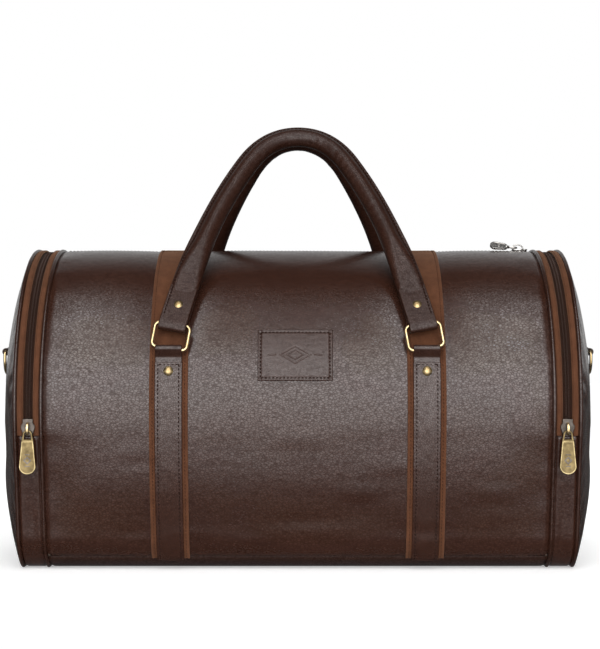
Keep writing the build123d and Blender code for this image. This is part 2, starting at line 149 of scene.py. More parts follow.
def run_at(height):
    """Return how far down the outline from the top a height is, on the arc or the leaning side."""
    if height >= low_z:
        return RADIUS * acos((height - AXIS) / RADIUS)
    if height >= CORNER * (1 - sin(DRAFT)):
        return ARC + (low_z - height) / cos(DRAFT)
    return SIDE + CORNER * (asin((CORNER - height) / CORNER) - DRAFT)


def noise(u, v, seed):
    """Return smooth noise between -1 and 1 on a lattice of unit cells."""
    grid = np.random.RandomState(seed).uniform(-1, 1, (64, 64))
    iu, iv = np.floor(u).astype(int), np.floor(v).astype(int)
    fu, fv = u - iu, v - iv
    fu, fv = fu * fu * (3 - 2 * fu), fv * fv * (3 - 2 * fv)
    a, b = grid[iu % 64, iv % 64], grid[(iu + 1) % 64, iv % 64]
    c, d = grid[iu % 64, (iv + 1) % 64], grid[(iu + 1) % 64, (iv + 1) % 64]
    return (a * (1 - fu) + b * fu) * (1 - fv) + (c * (1 - fu) + d * fu) * fv


def bell(x, width):
    return np.exp(-((x / width) ** 2))


def smooth(x, low, high):
    u = np.clip((x - low) / (high - low), 0, 1)
    return u * u * (3 - 2 * u)


def relief(x, t):
    """Return the stuffed leather's own unevenness: soft swells, and shallow creases low down."""
    swell = 0.9 * noise(x / 0.11 + 9, t / 0.09 + 5, 1) + 0.5 * noise(x / 0.05 + 3, t / 0.06 + 8, 2)
    between = 0.9 - 1.5 * bell(np.abs(x) - BAND_X, 0.022)
    low = smooth(np.abs(t), 0.16, 0.30)
    crease = noise(x / 0.045 + 20, t / 0.011 + 20, 3) * smooth(noise(x / 0.06, t / 0.04, 4), -0.1, 0.6)
    ends = smooth(PANEL_END - np.abs(x), 0.0, 0.05)
    flat = 1 - smooth(np.abs(t), SIDE, SIDE + 0.03)
    belly = 3.0 * np.sin(pi * np.clip((np.abs(t) - ARC + 0.025) / (SIDE - ARC + 0.04), 0, 1)) ** 2
    return MM * flat * ends * (swell * 0.7 + between * 0.6 + 0.5 * low * crease + belly)


def on_barrel(x, t, h):
    """Return the points a height above the leather at stations x and arc lengths t."""
    y, z, ny, nz = section(t)
    lift = h + relief(x, t)
    return np.stack([x + 0 * y, y + ny * lift, z + nz * lift], -1)


# ---- Mesh helpers ----

def put(name, verts, faces, material, body, slot_name, replaces=()):
    """Make a closed smooth mesh that rides on a body."""
    mesh = bpy.data.meshes.new(name)
    mesh.from_pydata(np.asarray(verts).reshape(-1, 3).tolist(), [], faces)
    work = bmesh.new()
    work.from_mesh(mesh)
    bmesh.ops.recalc_face_normals(work, faces=work.faces)
    work.to_mesh(mesh)
    work.free()
    mesh.polygons.foreach_set("use_smooth", [True] * len(mesh.polygons))
    mesh.materials.append(material)
    piece = bpy.data.objects.new(name, mesh)
    bpy.context.scene.collection.objects.link(piece)
    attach(piece, body)
    if replaces:
        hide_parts(*replaces)


def skin(rings, closed=False):
    """Return the faces of a loft through rings of equal, even length, capped unless it closes."""
    n, m = rings.shape[:2]
    faces = []
    for i in range(n if closed else n - 1):
        a, b = i * m, ((i + 1) % n) * m
        faces += [(a + j, a + (j + 1) % m, b + (j + 1) % m, b + j) for j in range(m)]
    if not closed:
        for base in (0, (n - 1) * m):
            for j in range(m // 2 - 1):
                faces.append((base + j, base + j + 1, base + m - 2 - j, base + m - 1 - j))
    return faces


def loft(name, rings, *placing, closed=False):
    """Make one piece from rings. The placing is its material, body, slot and replaced nodes; the slot is not used.
    """
    put(name, rings, skin(rings, closed), *placing)


def spread(low, high, step, edge=1.0 * MM):
    """Return evenly spaced values with closer ones near both ends."""
    near = edge * np.array([0, 0.03, 0.12, 0.3, 0.6, 1.0, 1.6])
    inner = np.linspace(low + 2.4 * edge, high - 2.4 * edge, max(2, int((high - low) / step)))
    return np.concatenate([low + near, inner, (high - near)[::-1]])


def lip(distance, radius):
    """Return how far a rounded edge has dropped at a distance from it."""
    d = np.clip(distance, 0, radius)
    return radius - np.sqrt(np.maximum(radius**2 - (radius - d) ** 2, 0))


def slab(xs, ts, top, thickness):
    """Return the rings of a closed slab over the barrel, whose top's height is a function."""
    x, t = np.meshgrid(xs, ts)
    upper_h = top(x, t)
    upper = on_barrel(x, t, upper_h)
    lower_h = np.minimum(upper_h - 0.25 * MM, 0 * upper_h + upper_h.max() - thickness)
    lower = on_barrel(x, t, lower_h)
    return np.concatenate([upper, lower[:, ::-1]], axis=1)


def strip_top(x_from, x_to, t_from, t_to, height, radius, crown=0.0, grooves=(), cross=()):
    """Return a height function for a leather strip: rounded edges, a crown and stitched grooves."""
    def top(x, t):
        ax = np.minimum(x - x_from, x_to - x)
        at = np.minimum(t - t_from, t_to - t)
        h = height + crown * np.sin(pi * np.clip((x - x_from) / (x_to - x_from), 0, 1))
        h = h - lip(ax, radius) - lip(at, radius)
        for distance in [ax - g for g in grooves] + [t - g for g in cross]:
            h = h - GROOVE_DEPTH * bell(distance, GROOVE_WIDTH)
        return h
    return top


def along_t(x, t_from, t_to, height, count=600):
    """Return points and normals along the outline at one station."""
    t = np.linspace(t_from, t_to, count)
    _, _, ny, nz = section(t)
    normals = np.stack([0 * t, ny, nz], -1)
    return on_barrel(np.full(count, x), t, height), normals


def along_x(x_from, x_to, t, height, count=400):
    """Return points and normals along X at one arc length."""
    x = np.linspace(x_from, x_to, count)
    _, _, ny, nz = section(np.full(count, t))
    normals = np.stack([0 * x, ny, nz], -1)
    return on_barrel(x, np.full(count, t), height), normals


def lengths(points):
    """Return how far along a line each of its points is."""
    return np.concatenate([[0], np.cumsum(np.linalg.norm(np.diff(points, axis=0), axis=1))])


def picked(values, s, marks):
    return np.stack([np.interp(marks, s, column) for column in values.T], -1)


def even(points, count):
    """Return evenly spaced points along a line."""
    s = lengths(points)
    return picked(points, s, np.linspace(0, s[-1], count))


def settled(path, times):
    """Return a line smoothed a number of times, with its two ends held."""
    for _ in range(times):
        path[1:-1] = (path[:-2] + 2 * path[1:-1] + path[2:]) / 4
    return path


def paced(points, normals, pitch):
    """Return centres, directions and normals at an even pitch along a line."""
    s = lengths(points)
    count = max(1, int(s[-1] / pitch))
    marks = (np.arange(count) + 0.5) * s[-1] / count
    ahead = picked(points, s, marks + 0.2 * MM) - picked(points, s, marks - 0.2 * MM)
    return picked(points, s, marks), unit(ahead), unit(picked(normals, s, marks))


def unit(v):
    return v / np.maximum(np.linalg.norm(v, axis=-1, keepdims=True), 1e-12)


def beads(centres, along, up, length, width, height, skew=0.0):
    """Return verts and faces of one small rounded bar at each centre."""
    across = unit(np.cross(up, along))
    along = unit(along + across * skew)
    across = unit(np.cross(up, along))
    stations = np.array([-0.5, -0.42, -0.2, 0.2, 0.42, 0.5])
    girth = np.array([0.25, 0.72, 1.0, 1.0, 0.72, 0.25])
    sink = np.array([-0.9, -0.35, 0.0, 0.0, -0.35, -0.9])
    sides = 6
    angle = np.arange(sides) * 2 * pi / sides
    a = (stations * length)[:, None] + 0 * angle
    b = (girth * width / 2)[:, None] * np.cos(angle)
    c = (girth * height / 2)[:, None] * np.sin(angle) + (sink * height / 2)[:, None]
    local = np.stack([a, b, c], -1).reshape(-1, 3)
    verts = (
        centres[:, None]
        + local[None, :, 0:1] * along[:, None]
        + local[None, :, 1:2] * across[:, None]
        + local[None, :, 2:3] * up[:, None]
    )
    each = skin(local.reshape(len(stations), sides, 3))
    size_each = len(local)
    faces = [tuple(v + k * size_each for v in f) for k in range(len(centres)) for f in each]
    return verts.reshape(-1, 3), faces


class Pile:
    """Gather small parts such as stitches, then make them one piece."""

    def __init__(self):
        self.rows = []

    def row(self, points, normals, pitch=3.2 * MM, length=2.45 * MM, width=0.95 * MM, lift=0.0):
        """Add a row of stitches."""
        centres, along, up = paced(points, normals, pitch)
        self.rows.append(beads(centres + up * lift, along, up, length, width, 0.7 * MM, 0.1))

    def loft(self, rings):
        self.rows.append((rings.reshape(-1, 3), skin(rings)))

    def make(self, name, *placing):
        verts, faces, count = [], [], 0
        for v, f in self.rows:
            verts.append(v)
            faces += [tuple(i + count for i in face) for face in f]
            count += len(v)
        put(name, np.concatenate(verts), faces, *placing)


def tube(points, radius, reference, sides=16, closed=False):
    """Return the rings of a round tube along points. The radius may change along it."""
    if closed:
        tangent = unit(np.roll(points, -1, axis=0) - np.roll(points, 1, axis=0))
    else:
        tangent = unit(np.gradient(points, axis=0))
    side = unit(np.cross(reference, tangent))
    other = unit(np.cross(tangent, side))
    angle = np.arange(sides) * 2 * pi / sides
    radius = np.broadcast_to(np.asarray(radius, float), (len(points),))
    return (
        points[:, None]
        + (radius[:, None] * np.cos(angle))[..., None] * side[:, None]
        + (radius[:, None] * np.sin(angle))[..., None] * other[:, None]
    )


def ribbon(points, width, thickness, across):
    """Return the rings of a flat strap along points, its width along one steady direction."""
    tangent = unit(np.gradient(points, axis=0))
    across = unit(np.broadcast_to(np.asarray(across, float), points.shape))
    up = unit(np.cross(tangent, across))
    xs = spread(-width / 2, width / 2, 2 * MM, 0.8 * MM)
    d = np.minimum(xs + width / 2, width / 2 - xs)
    half = thickness / 2 - lip(d, thickness / 2)
    middle_row = points[:, None] + xs[:, None] * across[:, None]
    rise = half[:, None] * up[:, None]
    return np.concatenate([middle_row + rise, (middle_row - rise)[:, ::-1]], axis=1)


def turn_rear(points, face):
    """Leave front points where they are, or turn them half round to the rear."""
    return points if face > 0 else points * np.array([-1, -1, 1])


# ---- Materials ----

def nodes_for(name):
    """Return a new material, its tree, its shader and the place on the object that textures use."""
    material = bpy.data.materials.new(name)
    material.use_nodes = True
    tree = material.node_tree
    where = tree.nodes.new("ShaderNodeTexCoord")
    return material, tree, tree.nodes["Principled BSDF"], where.outputs["Object"]


def feed(tree, node, sockets):
    """Link or set a node's sockets, by name or number."""
    for key, value in sockets.items():
        if isinstance(value, bpy.types.NodeSocket):
            tree.links.new(value, node.inputs[key])
        else:
            node.inputs[key].default_value = value


def add_node(tree, kind, **values):
    """Add a node, setting its properties and its sockets by name."""
    node = tree.nodes.new(kind)
    for key, value in values.items():
        if key in node.inputs:
            node.inputs[key].default_value = value
        else:
            setattr(node, key, value)
    return node


def ramp(tree, source, stops):
    node = tree.nodes.new("ShaderNodeValToRGB")
    while len(node.color_ramp.elements) < len(stops):
        node.color_ramp.elements.new(0.5)
    for element, (at, colour) in zip(node.color_ramp.elements, stops):
        element.position = at
        element.color = (*colour, 1) if len(colour) == 3 else (colour[0],) * 3 + (1,)
    tree.links.new(source, node.inputs["Fac"])
    return node.outputs["Color"]


def mixed(tree, factor, a, b, mode="MIX"):
    node = add_node(tree, "ShaderNodeMix", data_type="RGBA", blend_type=mode)
    a, b = ((*colour, 1) if isinstance(colour, tuple) else colour for colour in (a, b))
    feed(tree, node, {"Factor": factor, "A": a, "B": b})
    return node.outputs["Result"]


def scaled(tree, where, scale):
    node = add_node(tree, "ShaderNodeMapping", Scale=scale)
    feed(tree, node, {"Vector": where})
    return node.outputs["Vector"]


def texture(tree, kind, vector, **values):
    node = add_node(tree, kind, **values)
    feed(tree, node, {"Vector": vector})
    return node


def noisy(tree, vector, scale, detail, rough=0.5):
    return texture(tree, "ShaderNodeTexNoise", vector, Scale=scale, Detail=detail, Roughness=rough)


def bumped(tree, *layers):
    """Return a normal from layers of bumps, each a height, a strength and a distance."""
    normal = None
    for height, strength, distance in layers:
        node = add_node(tree, "ShaderNodeBump", Strength=strength, Distance=distance)
        feed(tree, node, {"Height": height} if normal is None else {"Height": height, "Normal": normal})
        normal = node.outputs["Normal"]
    return normal


def leather(name, dark, light, roughness, pebble, depth, gloss, stretch=(1, 1, 1), shine=0.5):
    """Pebbled leather: cells with soft creases between them, painted shade darkening the creases, and a tone that
    varies at random.

    The pebble's size and the creases' depth are in mm. The gloss is that of the clear coat.
    """
    material, tree, shader, where = nodes_for(name)
    vector = scaled(tree, where, stretch)
    bent = add_node(tree, "ShaderNodeVectorMath", operation="MULTIPLY_ADD")
    warp = noisy(tree, vector, 260.0, 2.0).outputs["Color"]
    feed(tree, bent, {0: warp, 1: (0.0011,) * 3, 2: vector})
    cells = texture(
        tree, "ShaderNodeTexVoronoi", bent.outputs[0], feature="DISTANCE_TO_EDGE", Scale=1000.0 / pebble
    )
    cushion_and_crease_shade = ramp(tree, cells.outputs["Distance"], ((0.0, (0.0,)), (0.14, (0.65,)), (0.40, (1.0,))))
    crinkle = noisy(tree, scaled(tree, where, (0.55, 1, 1)), 400.0, 4.0, 0.6).outputs["Fac"]
    furrow = ramp(tree, crinkle, ((0.34, (0.35,)), (0.52, (1.0,))))
    cushion_and_crease_shade = mixed(tree, 1.0, cushion_and_crease_shade, furrow, "MULTIPLY")
    pores = noisy(tree, vector, 1500.0, 3.0, 0.7).outputs["Fac"]
    swell = noisy(tree, vector, 150.0, 3.0, 0.55).outputs["Fac"]
    broad = noisy(tree, vector, 26.0, 4.0, 0.6).outputs["Fac"]
    rough = mixed(tree, swell, (roughness - 0.06,) * 3, (roughness + 0.06,) * 3)
    # Painted shade: the creases between the cells and the crinkle furrows take 0.66 of the dark tone; elsewhere
    # the tone varies at random between dark and light.
    feed(tree, shader, {
        "Base Color": mixed(
            tree, cushion_and_crease_shade, tuple(0.66 * v for v in dark), ramp(tree, broad, ((0.32, dark), (0.72, light)))
        ),
        "Roughness": mixed(tree, cushion_and_crease_shade, (roughness + 0.08,) * 3, rough),
        "Specular IOR Level": mixed(tree, cushion_and_crease_shade, (0.34 * shine,) * 3, (shine,) * 3),
        "Coat Weight": mixed(tree, cushion_and_crease_shade, (0.2 * gloss,) * 3, (gloss,) * 3),
        "Coat Roughness": 0.18,
        "Normal": bumped(
            tree,
            (broad, 0.25, 1.2 * MM),
            (swell, 0.5, 0.20 * MM),
            (crinkle, 0.45, depth * MM),
            (cushion_and_crease_shade, 0.2, depth * MM),
            (pores, 0.12, 0.04 * MM),
        ),
    })
    return material


def suede(name, dark, light):
    """Napped suede: fine fibres, brushed patches and a soft sheen."""
    material, tree, shader, where = nodes_for(name)
    fibre = noisy(tree, where, 2600.0, 3.0, 0.75).outputs["Fac"]
    nap = noisy(tree, scaled(tree, where, (1, 1, 0.45)), 150.0, 5.0, 0.65).outputs["Fac"]
    tone = ramp(tree, nap, ((0.3, dark), (0.7, light)))
    speck = ramp(tree, fibre, ((0.35, (0.72,)), (0.65, (1.12,))))
    feed(tree, shader, {
        "Base Color": mixed(tree, 1.0, tone, speck, "MULTIPLY"),
        "Normal": bumped(tree, (nap, 0.3, 0.4 * MM), (fibre, 0.7, 0.16 * MM)),
        "Roughness": 0.92,
        "Specular IOR Level": 0.2,
        "Sheen Weight": 0.18,
        "Sheen Roughness": 0.5,
        "Sheen Tint": (0.75, 0.45, 0.28, 1),
    })
    return material


def woven(name, dark, light, pitch, shine):
    """Cloth of crossing threads at a pitch in mm, for the zip tapes and the lining."""
    material, tree, shader, where = nodes_for(name)
    waves = []
    for axis in ((1.02, 0.02, 0.02), (0.02, 1.02, 1.02)):
        vector, scale = scaled(tree, where, axis), 300.0 / pitch
        wave = texture(
            tree, "ShaderNodeTexWave", vector, bands_direction="DIAGONAL", Scale=scale, Distortion=0.4
        )
        waves.append(wave.outputs["Color"])
    cross = mixed(tree, 0.5, *waves)
    fuzz = noisy(tree, where, 900.0, 3.0).outputs
    feed(tree, shader, {
        "Base Color": mixed(tree, 0.5, mixed(tree, cross, dark, light), fuzz["Color"], "OVERLAY"),
        "Normal": bumped(tree, (cross, 0.7, 0.15 * MM), (fuzz["Fac"], 0.3, 0.05 * MM)),
        "Roughness": 0.85,
        "Specular IOR Level": shine,
        "Sheen Weight": 0.05,
    })
    return material


def thread(name, dark, light):
    """Twisted sewing thread."""
    material, tree, shader, where = nodes_for(name)
    twist = texture(
        tree, "ShaderNodeTexWave", where, bands_direction="DIAGONAL", Scale=1500.0, Distortion=1.0
    ).outputs
    feed(tree, shader, {
        "Base Color": mixed(tree, twist["Color"], dark, light),
        "Normal": bumped(tree, (twist["Fac"], 0.6, 0.08 * MM)),
        "Roughness": 0.85,
        "Specular IOR Level": 0.15,
    })
    return material


def metal(name, colour, worn, roughness, scratch, patina):
    """Plated metal: fine scratches, and a rubbed tone and duller patches that vary at random."""
    material, tree, shader, where = nodes_for(name)
    broad = noisy(tree, where, 240.0, 4.0, 0.6).outputs["Fac"]
    fine = noisy(tree, scaled(tree, where, (1, 1, 0.12)), 2400.0, 3.0).outputs["Fac"]
    feed(tree, shader, {
        "Base Color": ramp(tree, broad, ((0.5 - patina * 0.3, worn), (0.5 + patina * 0.25, colour))),
        "Roughness": ramp(tree, broad, ((0.35, (roughness + 0.16,)), (0.65, (roughness,)))),
        "Normal": bumped(tree, (broad, 0.15, 0.2 * MM), (fine, scratch, 0.06 * MM)),
        "Metallic": 1.0,
    })
    return material


def plastic(name, dark, light, roughness, shine=0.5):
    """Moulded plastic or foam with a faint grain."""
    material, tree, shader, where = nodes_for(name)
    grain = noisy(tree, where, 900.0, 3.0).outputs["Fac"]
    feed(tree, shader, {
        "Base Color": mixed(tree, grain, dark, light),
        "Normal": bumped(tree, (grain, 0.2, 0.05 * MM)),
        "Roughness": roughness,
        "Specular IOR Level": shine,
    })
    return material


DEEP, WARM = (0.0310, 0.0110, 0.0064), (0.0430, 0.0164, 0.0100)
# The next two tones are the body leather painted darker: painted shade on the base under the bag. The folds,
# handles and piping take the darker deep tone as the dark end of their tone.
SHADED_DEEP, SHADED_WARM = (0.0245, 0.0084, 0.0046), (0.0340, 0.0124, 0.0072)
body_leather = leather("body_leather", DEEP, WARM, 0.18, 1.9, 0.15, 0.30, (0.68, 1.15, 1.15))
base_leather = leather("base_leather", SHADED_DEEP, SHADED_WARM, 0.34, 2.0, 0.2, 0.15)
strap_leather = leather("strap_leather", DEEP, WARM, 0.20, 1.6, 0.13, 0.25)
fold_leather = leather("fold_leather", SHADED_DEEP, WARM, 0.26, 1.1, 0.10, 0.25)
handle_leather = leather("handle_leather", SHADED_DEEP, WARM, 0.34, 1.5, 0.15, 0.12, shine=0.38)
patch_leather = leather("patch_leather", DEEP, WARM, 0.25, 1.1, 0.11, 0.2)
piping_leather = leather("piping_leather", SHADED_DEEP, WARM, 0.22, 1.0, 0.08, 0.35)
tan_suede = suede("tan_suede", (0.060, 0.0205, 0.0085), (0.098, 0.0370, 0.0165))
tape_cloth = woven("tape_cloth", (0.012, 0.0050, 0.0030), (0.036, 0.0155, 0.0090), 0.55, 0.1)
lining_cloth = woven("lining_cloth", (0.06, 0.04, 0.03), (0.12, 0.09, 0.07), 0.9, 0.5)
brown_thread = thread("brown_thread", (0.009, 0.0032, 0.0020), (0.022, 0.0080, 0.0045))
tan_thread = thread("tan_thread", (0.026, 0.0090, 0.0040), (0.050, 0.0185, 0.0085))
brass = metal("brass", (0.62, 0.48, 0.27), (0.46, 0.33, 0.165), 0.24, 0.08, 0.6)
rivet_brass = metal("rivet_brass", (0.50, 0.38, 0.20), (0.32, 0.22, 0.10), 0.30, 0.12, 0.8)
antique_brass = metal("antique_brass", (0.20, 0.150, 0.072), (0.10, 0.072, 0.036), 0.40, 0.3, 1.0)
rim_brass = metal("rim_brass", (0.44, 0.345, 0.18), (0.30, 0.23, 0.115), 0.36, 0.2, 0.8)
pewter = metal("pewter", (0.15, 0.130, 0.115), (0.07, 0.060, 0.052), 0.36, 0.25, 1.0)
nickel = metal("nickel", (0.66, 0.64, 0.61), (0.42, 0.40, 0.38), 0.22, 0.15, 0.7)
coil_nylon = plastic("coil_nylon", (0.016, 0.0070, 0.0042), (0.036, 0.0160, 0.0100), 0.48, 0.2)
foam = plastic("foam", (0.5, 0.48, 0.42), (0.62, 0.6, 0.55), 0.9)
board = plastic("board", (0.03, 0.03, 0.03), (0.06, 0.06, 0.06), 0.7)

BY_SLOT = {
    "body_leather": body_leather,
    "base_leather": base_leather,
    "strap_leather": strap_leather,
    "handle_leather": handle_leather,
    "patch_leather": patch_leather,
    "piping": piping_leather,
    "suede": tan_suede,
    "lining": lining_cloth,
    "base_board": board,
    "handle_core": foam,
    "zip_tape": tape_cloth,
    "zip_coil": coil_nylon,
    "dark_metal": pewter,
    "nickel": nickel,
    "brass": brass,
    "rivet_brass": rivet_brass,
    "antique_brass": antique_brass,
}
for part in frame["record"]["subparts"]:
    cad = frame["nodes"][part["node"]]
    for spot in cad.material_slots:
        spot.material = BY_SLOT[part["material_slot"]]
    cad.data.polygons.foreach_set("use_smooth", [True] * len(cad.data.polygons))

# What places a piece: its material, the body that it rides on, and its slot.
BODY = (body_leather, "bag", "body_leather")
SUEDE = (tan_suede, "bag", "suede")
TAPE = (tape_cloth, "bag", "zip_tape")
COIL = (coil_nylon, "bag", "zip_coil")
STRAP = (strap_leather, "bag", "strap_leather")
FOLD = (fold_leather, "bag", "strap_leather")

# ---- Main panels and base ----

seam_run = run_at(SEAM)
tucked_end = PANEL_END + 0.8 * MM
panel_xs = spread(-tucked_end, tucked_end, 2.2 * MM, 3 * MM)


def panel_top(x, t):
    """Height of a main panel: it rolls in at the end seams, the base seam and the zip."""
    end = PANEL_END - np.abs(x)
    run = np.abs(t)
    pucker = 1 + 0.35 * np.cos(2 * pi * run / 0.031 + 3 * noise(run / 0.05, x / 0.4 + 7, 6))
    roll = 0.9 * bell(np.maximum(end, 0), 2.0 * MM) + 0.5 * bell(end, 14 * MM) * pucker
    seam = 1.3 * bell(seam_run - run, 2.2 * MM)
    lip_h = 1.5 * bell(run - ZIP_EDGE, 1.1 * MM) + 0.35 * bell(run - ZIP_EDGE - 3.2 * MM, 0.9 * MM)
    return -MM * (roll + seam + lip_h)


for face_name, face in FACES:
    ts = -face * spread(ZIP_EDGE, seam_run, 2.0 * MM, 2.5 * MM)
    shell = slab(panel_xs, ts, panel_top, PANEL_THICK)
    loft(f"{face_name}_shell", shell, *BODY, [f"{face_name}_panel"])


def under(run_from, step):
    """Return arc lengths from one face, under the bag, to the other face."""
    run = spread(run_from, HALF, step, 2 * MM)
    return np.concatenate([-run, run[::-1][1:]])


def base_top(x, t):
    """Height of the base panel: it rolls in at its seams and its ends."""
    end = PANEL_END - np.abs(x)
    return -MM * (1.2 * bell(seam_run - np.abs(t), 1.6 * MM) + 1.0 * bell(np.maximum(end, 0), 1.5 * MM))


base = slab(panel_xs, under(seam_run + 0.1 * MM, 3 * MM), base_top, PANEL_THICK)
loft("base_skin", base, base_leather, "bag", "base_leather", ["base_panel"])

# ---- Ends: piping, suede strips, gussets, domes ----

loop_t = np.linspace(-HALF, HALF, 560, endpoint=False)


def rim_line(x, height, floor):
    """Return the closed line round the outline at one station, kept above a floor height."""
    points = on_barrel(np.full(len(loop_t), x), loop_t, height)
    points[:, 2] = np.maximum(points[:, 2], floor)
    return points


for side_name, side in SIDES:
    for ring_name, station in (("inner", PIPE_IN), ("outer", PIPE_OUT)):
        line = rim_line(side * station, -0.3 * MM, PIPE_R)
        girth = PIPE_R * (1 + 0.05 * noise(loop_t / 0.007, np.full(len(loop_t), station * 9), 12))
        cord = tube(line, girth, (side, 0, 0), closed=True)
        place = (piping_leather, "bag", "piping", [f"{side_name}_{ring_name}_piping"])
        loft(f"{side_name}_{ring_name}_cord_piping", cord, *place, closed=True)

zip_run = RADIUS * (pi / 2 + asin((AXIS - TRIM_TOP) / RADIUS))
suede_thread = Pile()
dark_thread = Pile()
for side_name, side in SIDES:
    for trim in ("inner", "outer"):
        node = f"{side_name}_{trim}_zip_trim"
        low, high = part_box(node)
        ts = spread(-zip_run, zip_run, 2.5 * MM)
        top = strip_top(low.x, high.x, -zip_run, zip_run, 0.15 * MM, EDGE_R, 0.5 * MM)
        strip = slab(spread(low.x, high.x, 0.8 * MM, 0.7 * MM), ts, top, 1.7 * MM)
        loft(f"{side_name}_{trim}_suede_strip", strip, *SUEDE, [node])
        toward = 1 if (trim == "inner") == (side > 0) else -1
        edge = high.x if toward > 0 else low.x
        line = along_t(edge - toward * 1.1 * MM, -zip_run, zip_run, 0.35 * MM)
        suede_thread.row(*line, *TRIM_SEWING)

    node = f"{side_name}_lower_gusset"
    low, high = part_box(node)

    def gusset_top(x, t, low=low, high=high):
        u = np.clip((x - low.x) / (high.x - low.x), 0, 1)
        top_edge = 0.9 * bell(np.abs(t) - zip_run, 1.0 * MM)
        fold = 0.9 * np.sin(pi * u) * (0.2 + 0.8 * smooth(np.abs(t), zip_run, zip_run + 0.05))
        soft = 0.5 * noise(x / 0.012 + 4, t / 0.03 + 11, 14)
        edges = 1.0 * (bell(x - low.x, 1.2 * MM) + bell(x - high.x, 1.2 * MM))
        flat = 1 - smooth(np.abs(t), SIDE, TURN)
        return -MM * (top_edge + (fold + soft * np.sin(pi * u)) * flat + edges)

    xs = spread(low.x, high.x, 1.2 * MM, 1.2 * MM)
    gusset = slab(xs, under(zip_run + 0.2 * MM, 2.5 * MM), gusset_top, PANEL_THICK)
    loft(f"{side_name}_gusset_skin", gusset, *BODY, [node])
    for hand in (-1, 1):
        line = along_x(low.x + 0.6 * MM, high.x - 0.6 * MM, hand * (zip_run + 1.6 * MM), -0.4 * MM)
        dark_thread.row(*line, *GUSSET_SEWING)

DOME_MIDDLE = np.array([0.0, 0.0, 0.122])
dome_low, dome_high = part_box("right_end_panel")
DOME_RIM, DOME_TIP = dome_low.x, dome_high.x
DOME_INSETS = np.array([1, 4, 10, 22, 45, 75, 95]) * MM
DOME_RISES = np.array([0.0, 0.052, 0.146, 0.343, 0.624, 0.906, 1.0])


def dome_rise(inset):
    """Return how far a dome has risen, as a share, at distances in from its rim."""
    blur = 0.4 * MM + 0.16 * inset
    wide = [np.interp(inset + k * blur, DOME_INSETS, DOME_RISES) for k in (-1, -0.5, 0, 0.5, 1)]
    return sum(wide) / len(wide)


def dome_rings(side):
    """Return outer and inner grids of a stuffed end panel, from its rim to its middle."""
    share = np.concatenate([[0, 0.004, 0.012], np.linspace(0.025, 0.985, 70)])
    x = np.full(len(loop_t), 0.0)
    rim = on_barrel(x + side * PANEL_END, loop_t, -0.8 * MM)
    rim[:, 2] = np.maximum(rim[:, 2], 0.9 * MM)
    reach = np.linalg.norm(rim - DOME_MIDDLE - [side * PANEL_END, 0, 0], axis=1)
    grids = []
    for inward in (0.0, PANEL_THICK):
        rows = []
        for u in share:
            points = DOME_MIDDLE + (rim - DOME_MIDDLE) * (1 - u)
            along = loop_t / 0.045
            dent = 0.9 * noise(along, np.full(len(loop_t), u * 5 + 2), 15) * smooth(u, 0.02, 0.2)
            pucker = 0.28 * np.cos(2 * pi * loop_t / (2 * HALF) * 46 + 2 * noise(along, 0 * along, 16))
            pucker = pucker * bell(u - 0.05, 0.05)
            fade = 1 - smooth(u, 0.35, 0.7)
            rise = dome_rise(reach * u + 1.0 * MM)
            depth = (DOME_TIP - DOME_RIM) * rise + MM * (dent * fade + pucker)
            points[:, 0] = side * (DOME_RIM + np.maximum(depth, 0) - inward * (u > 0))
            rows.append(points)
        grids.append(np.array(rows))
    return grids


def dome(name, side, node):
    outer, inner = dome_rings(side)
    n, m = outer.shape[:2]
    verts = np.concatenate([outer.reshape(-1, 3), inner.reshape(-1, 3)])
    faces = []
    for i in range(n - 1):
        for j in range(m):
            a, b = i * m + j, i * m + (j + 1) % m
            faces.append((a, b, b + m, a + m))
            faces.append((n * m + a, n * m + a + m, n * m + b + m, n * m + b))
    for j in range(m):
        faces.append((j, n * m + j, n * m + (j + 1) % m, (j + 1) % m))
    faces.append(tuple((n - 1) * m + j for j in range(m)))
    faces.append(tuple(n * m + (n - 1) * m + j for j in range(m))[::-1])
    put(name, verts, faces, *BODY, [node])


for side_name, side in SIDES:
    dome(f"{side_name}_end_dome", side, f"{side_name}_end_panel")

# ---- Zips ----

TOOTH_PITCH = 1.3 * MM


def chain(points, normals, width, height):
    """Return two rows of slanting coil loops along a line, half a pitch apart."""
    rows = []
    for hand in (-1, 1):
        centres, along, up = paced(points, normals, TOOTH_PITCH)
        across = unit(np.cross(up, along)) * hand
        shift = along * (TOOTH_PITCH / 2 if hand > 0 else 0)
        middle_at = centres + across * (width * 0.24) + shift + up * height
        rows.append(beads(middle_at, across, up, width * 0.56, 0.95 * MM, 1.0 * MM, 0.25 * hand))
    return rows


def add_coil(name, points, normals, node):
    """Make a chain's coils along its line."""
    coil = Pile()
    coil.rows += chain(points, normals, CHAIN_W, COIL_H)
    coil.make(name, *COIL, [node])


for side_name, side in SIDES:
    x = side * END_ZIP
    low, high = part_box(f"{side_name}_zip_tape")
    tapes = Pile()
    for a, b in ((low.x, x - TAPE_GAP / 2), (x + TAPE_GAP / 2, high.x)):
        top = strip_top(a, b, -zip_run, zip_run, TAPE_H, 0.25 * MM)
        tapes.loft(slab(spread(a, b, 1 * MM, 0.4 * MM), spread(-zip_run, zip_run, 3 * MM), top, TAPE_THICK))
    tapes.make(f"{side_name}_tape_cloth", *TAPE, [f"{side_name}_zip_tape"])
    line = along_t(x, -zip_run + 2 * MM, zip_run - 2 * MM, 0.0, 1200)
    add_coil(f"{side_name}_coil", *line, f"{side_name}_zip_chain")
    for hand in (-1, 1):
        line = along_t(x + hand * 2.75 * MM, -zip_run, zip_run, TAPE_H + 0.1 * MM)
        dark_thread.row(*line, *TAPE_SEWING)

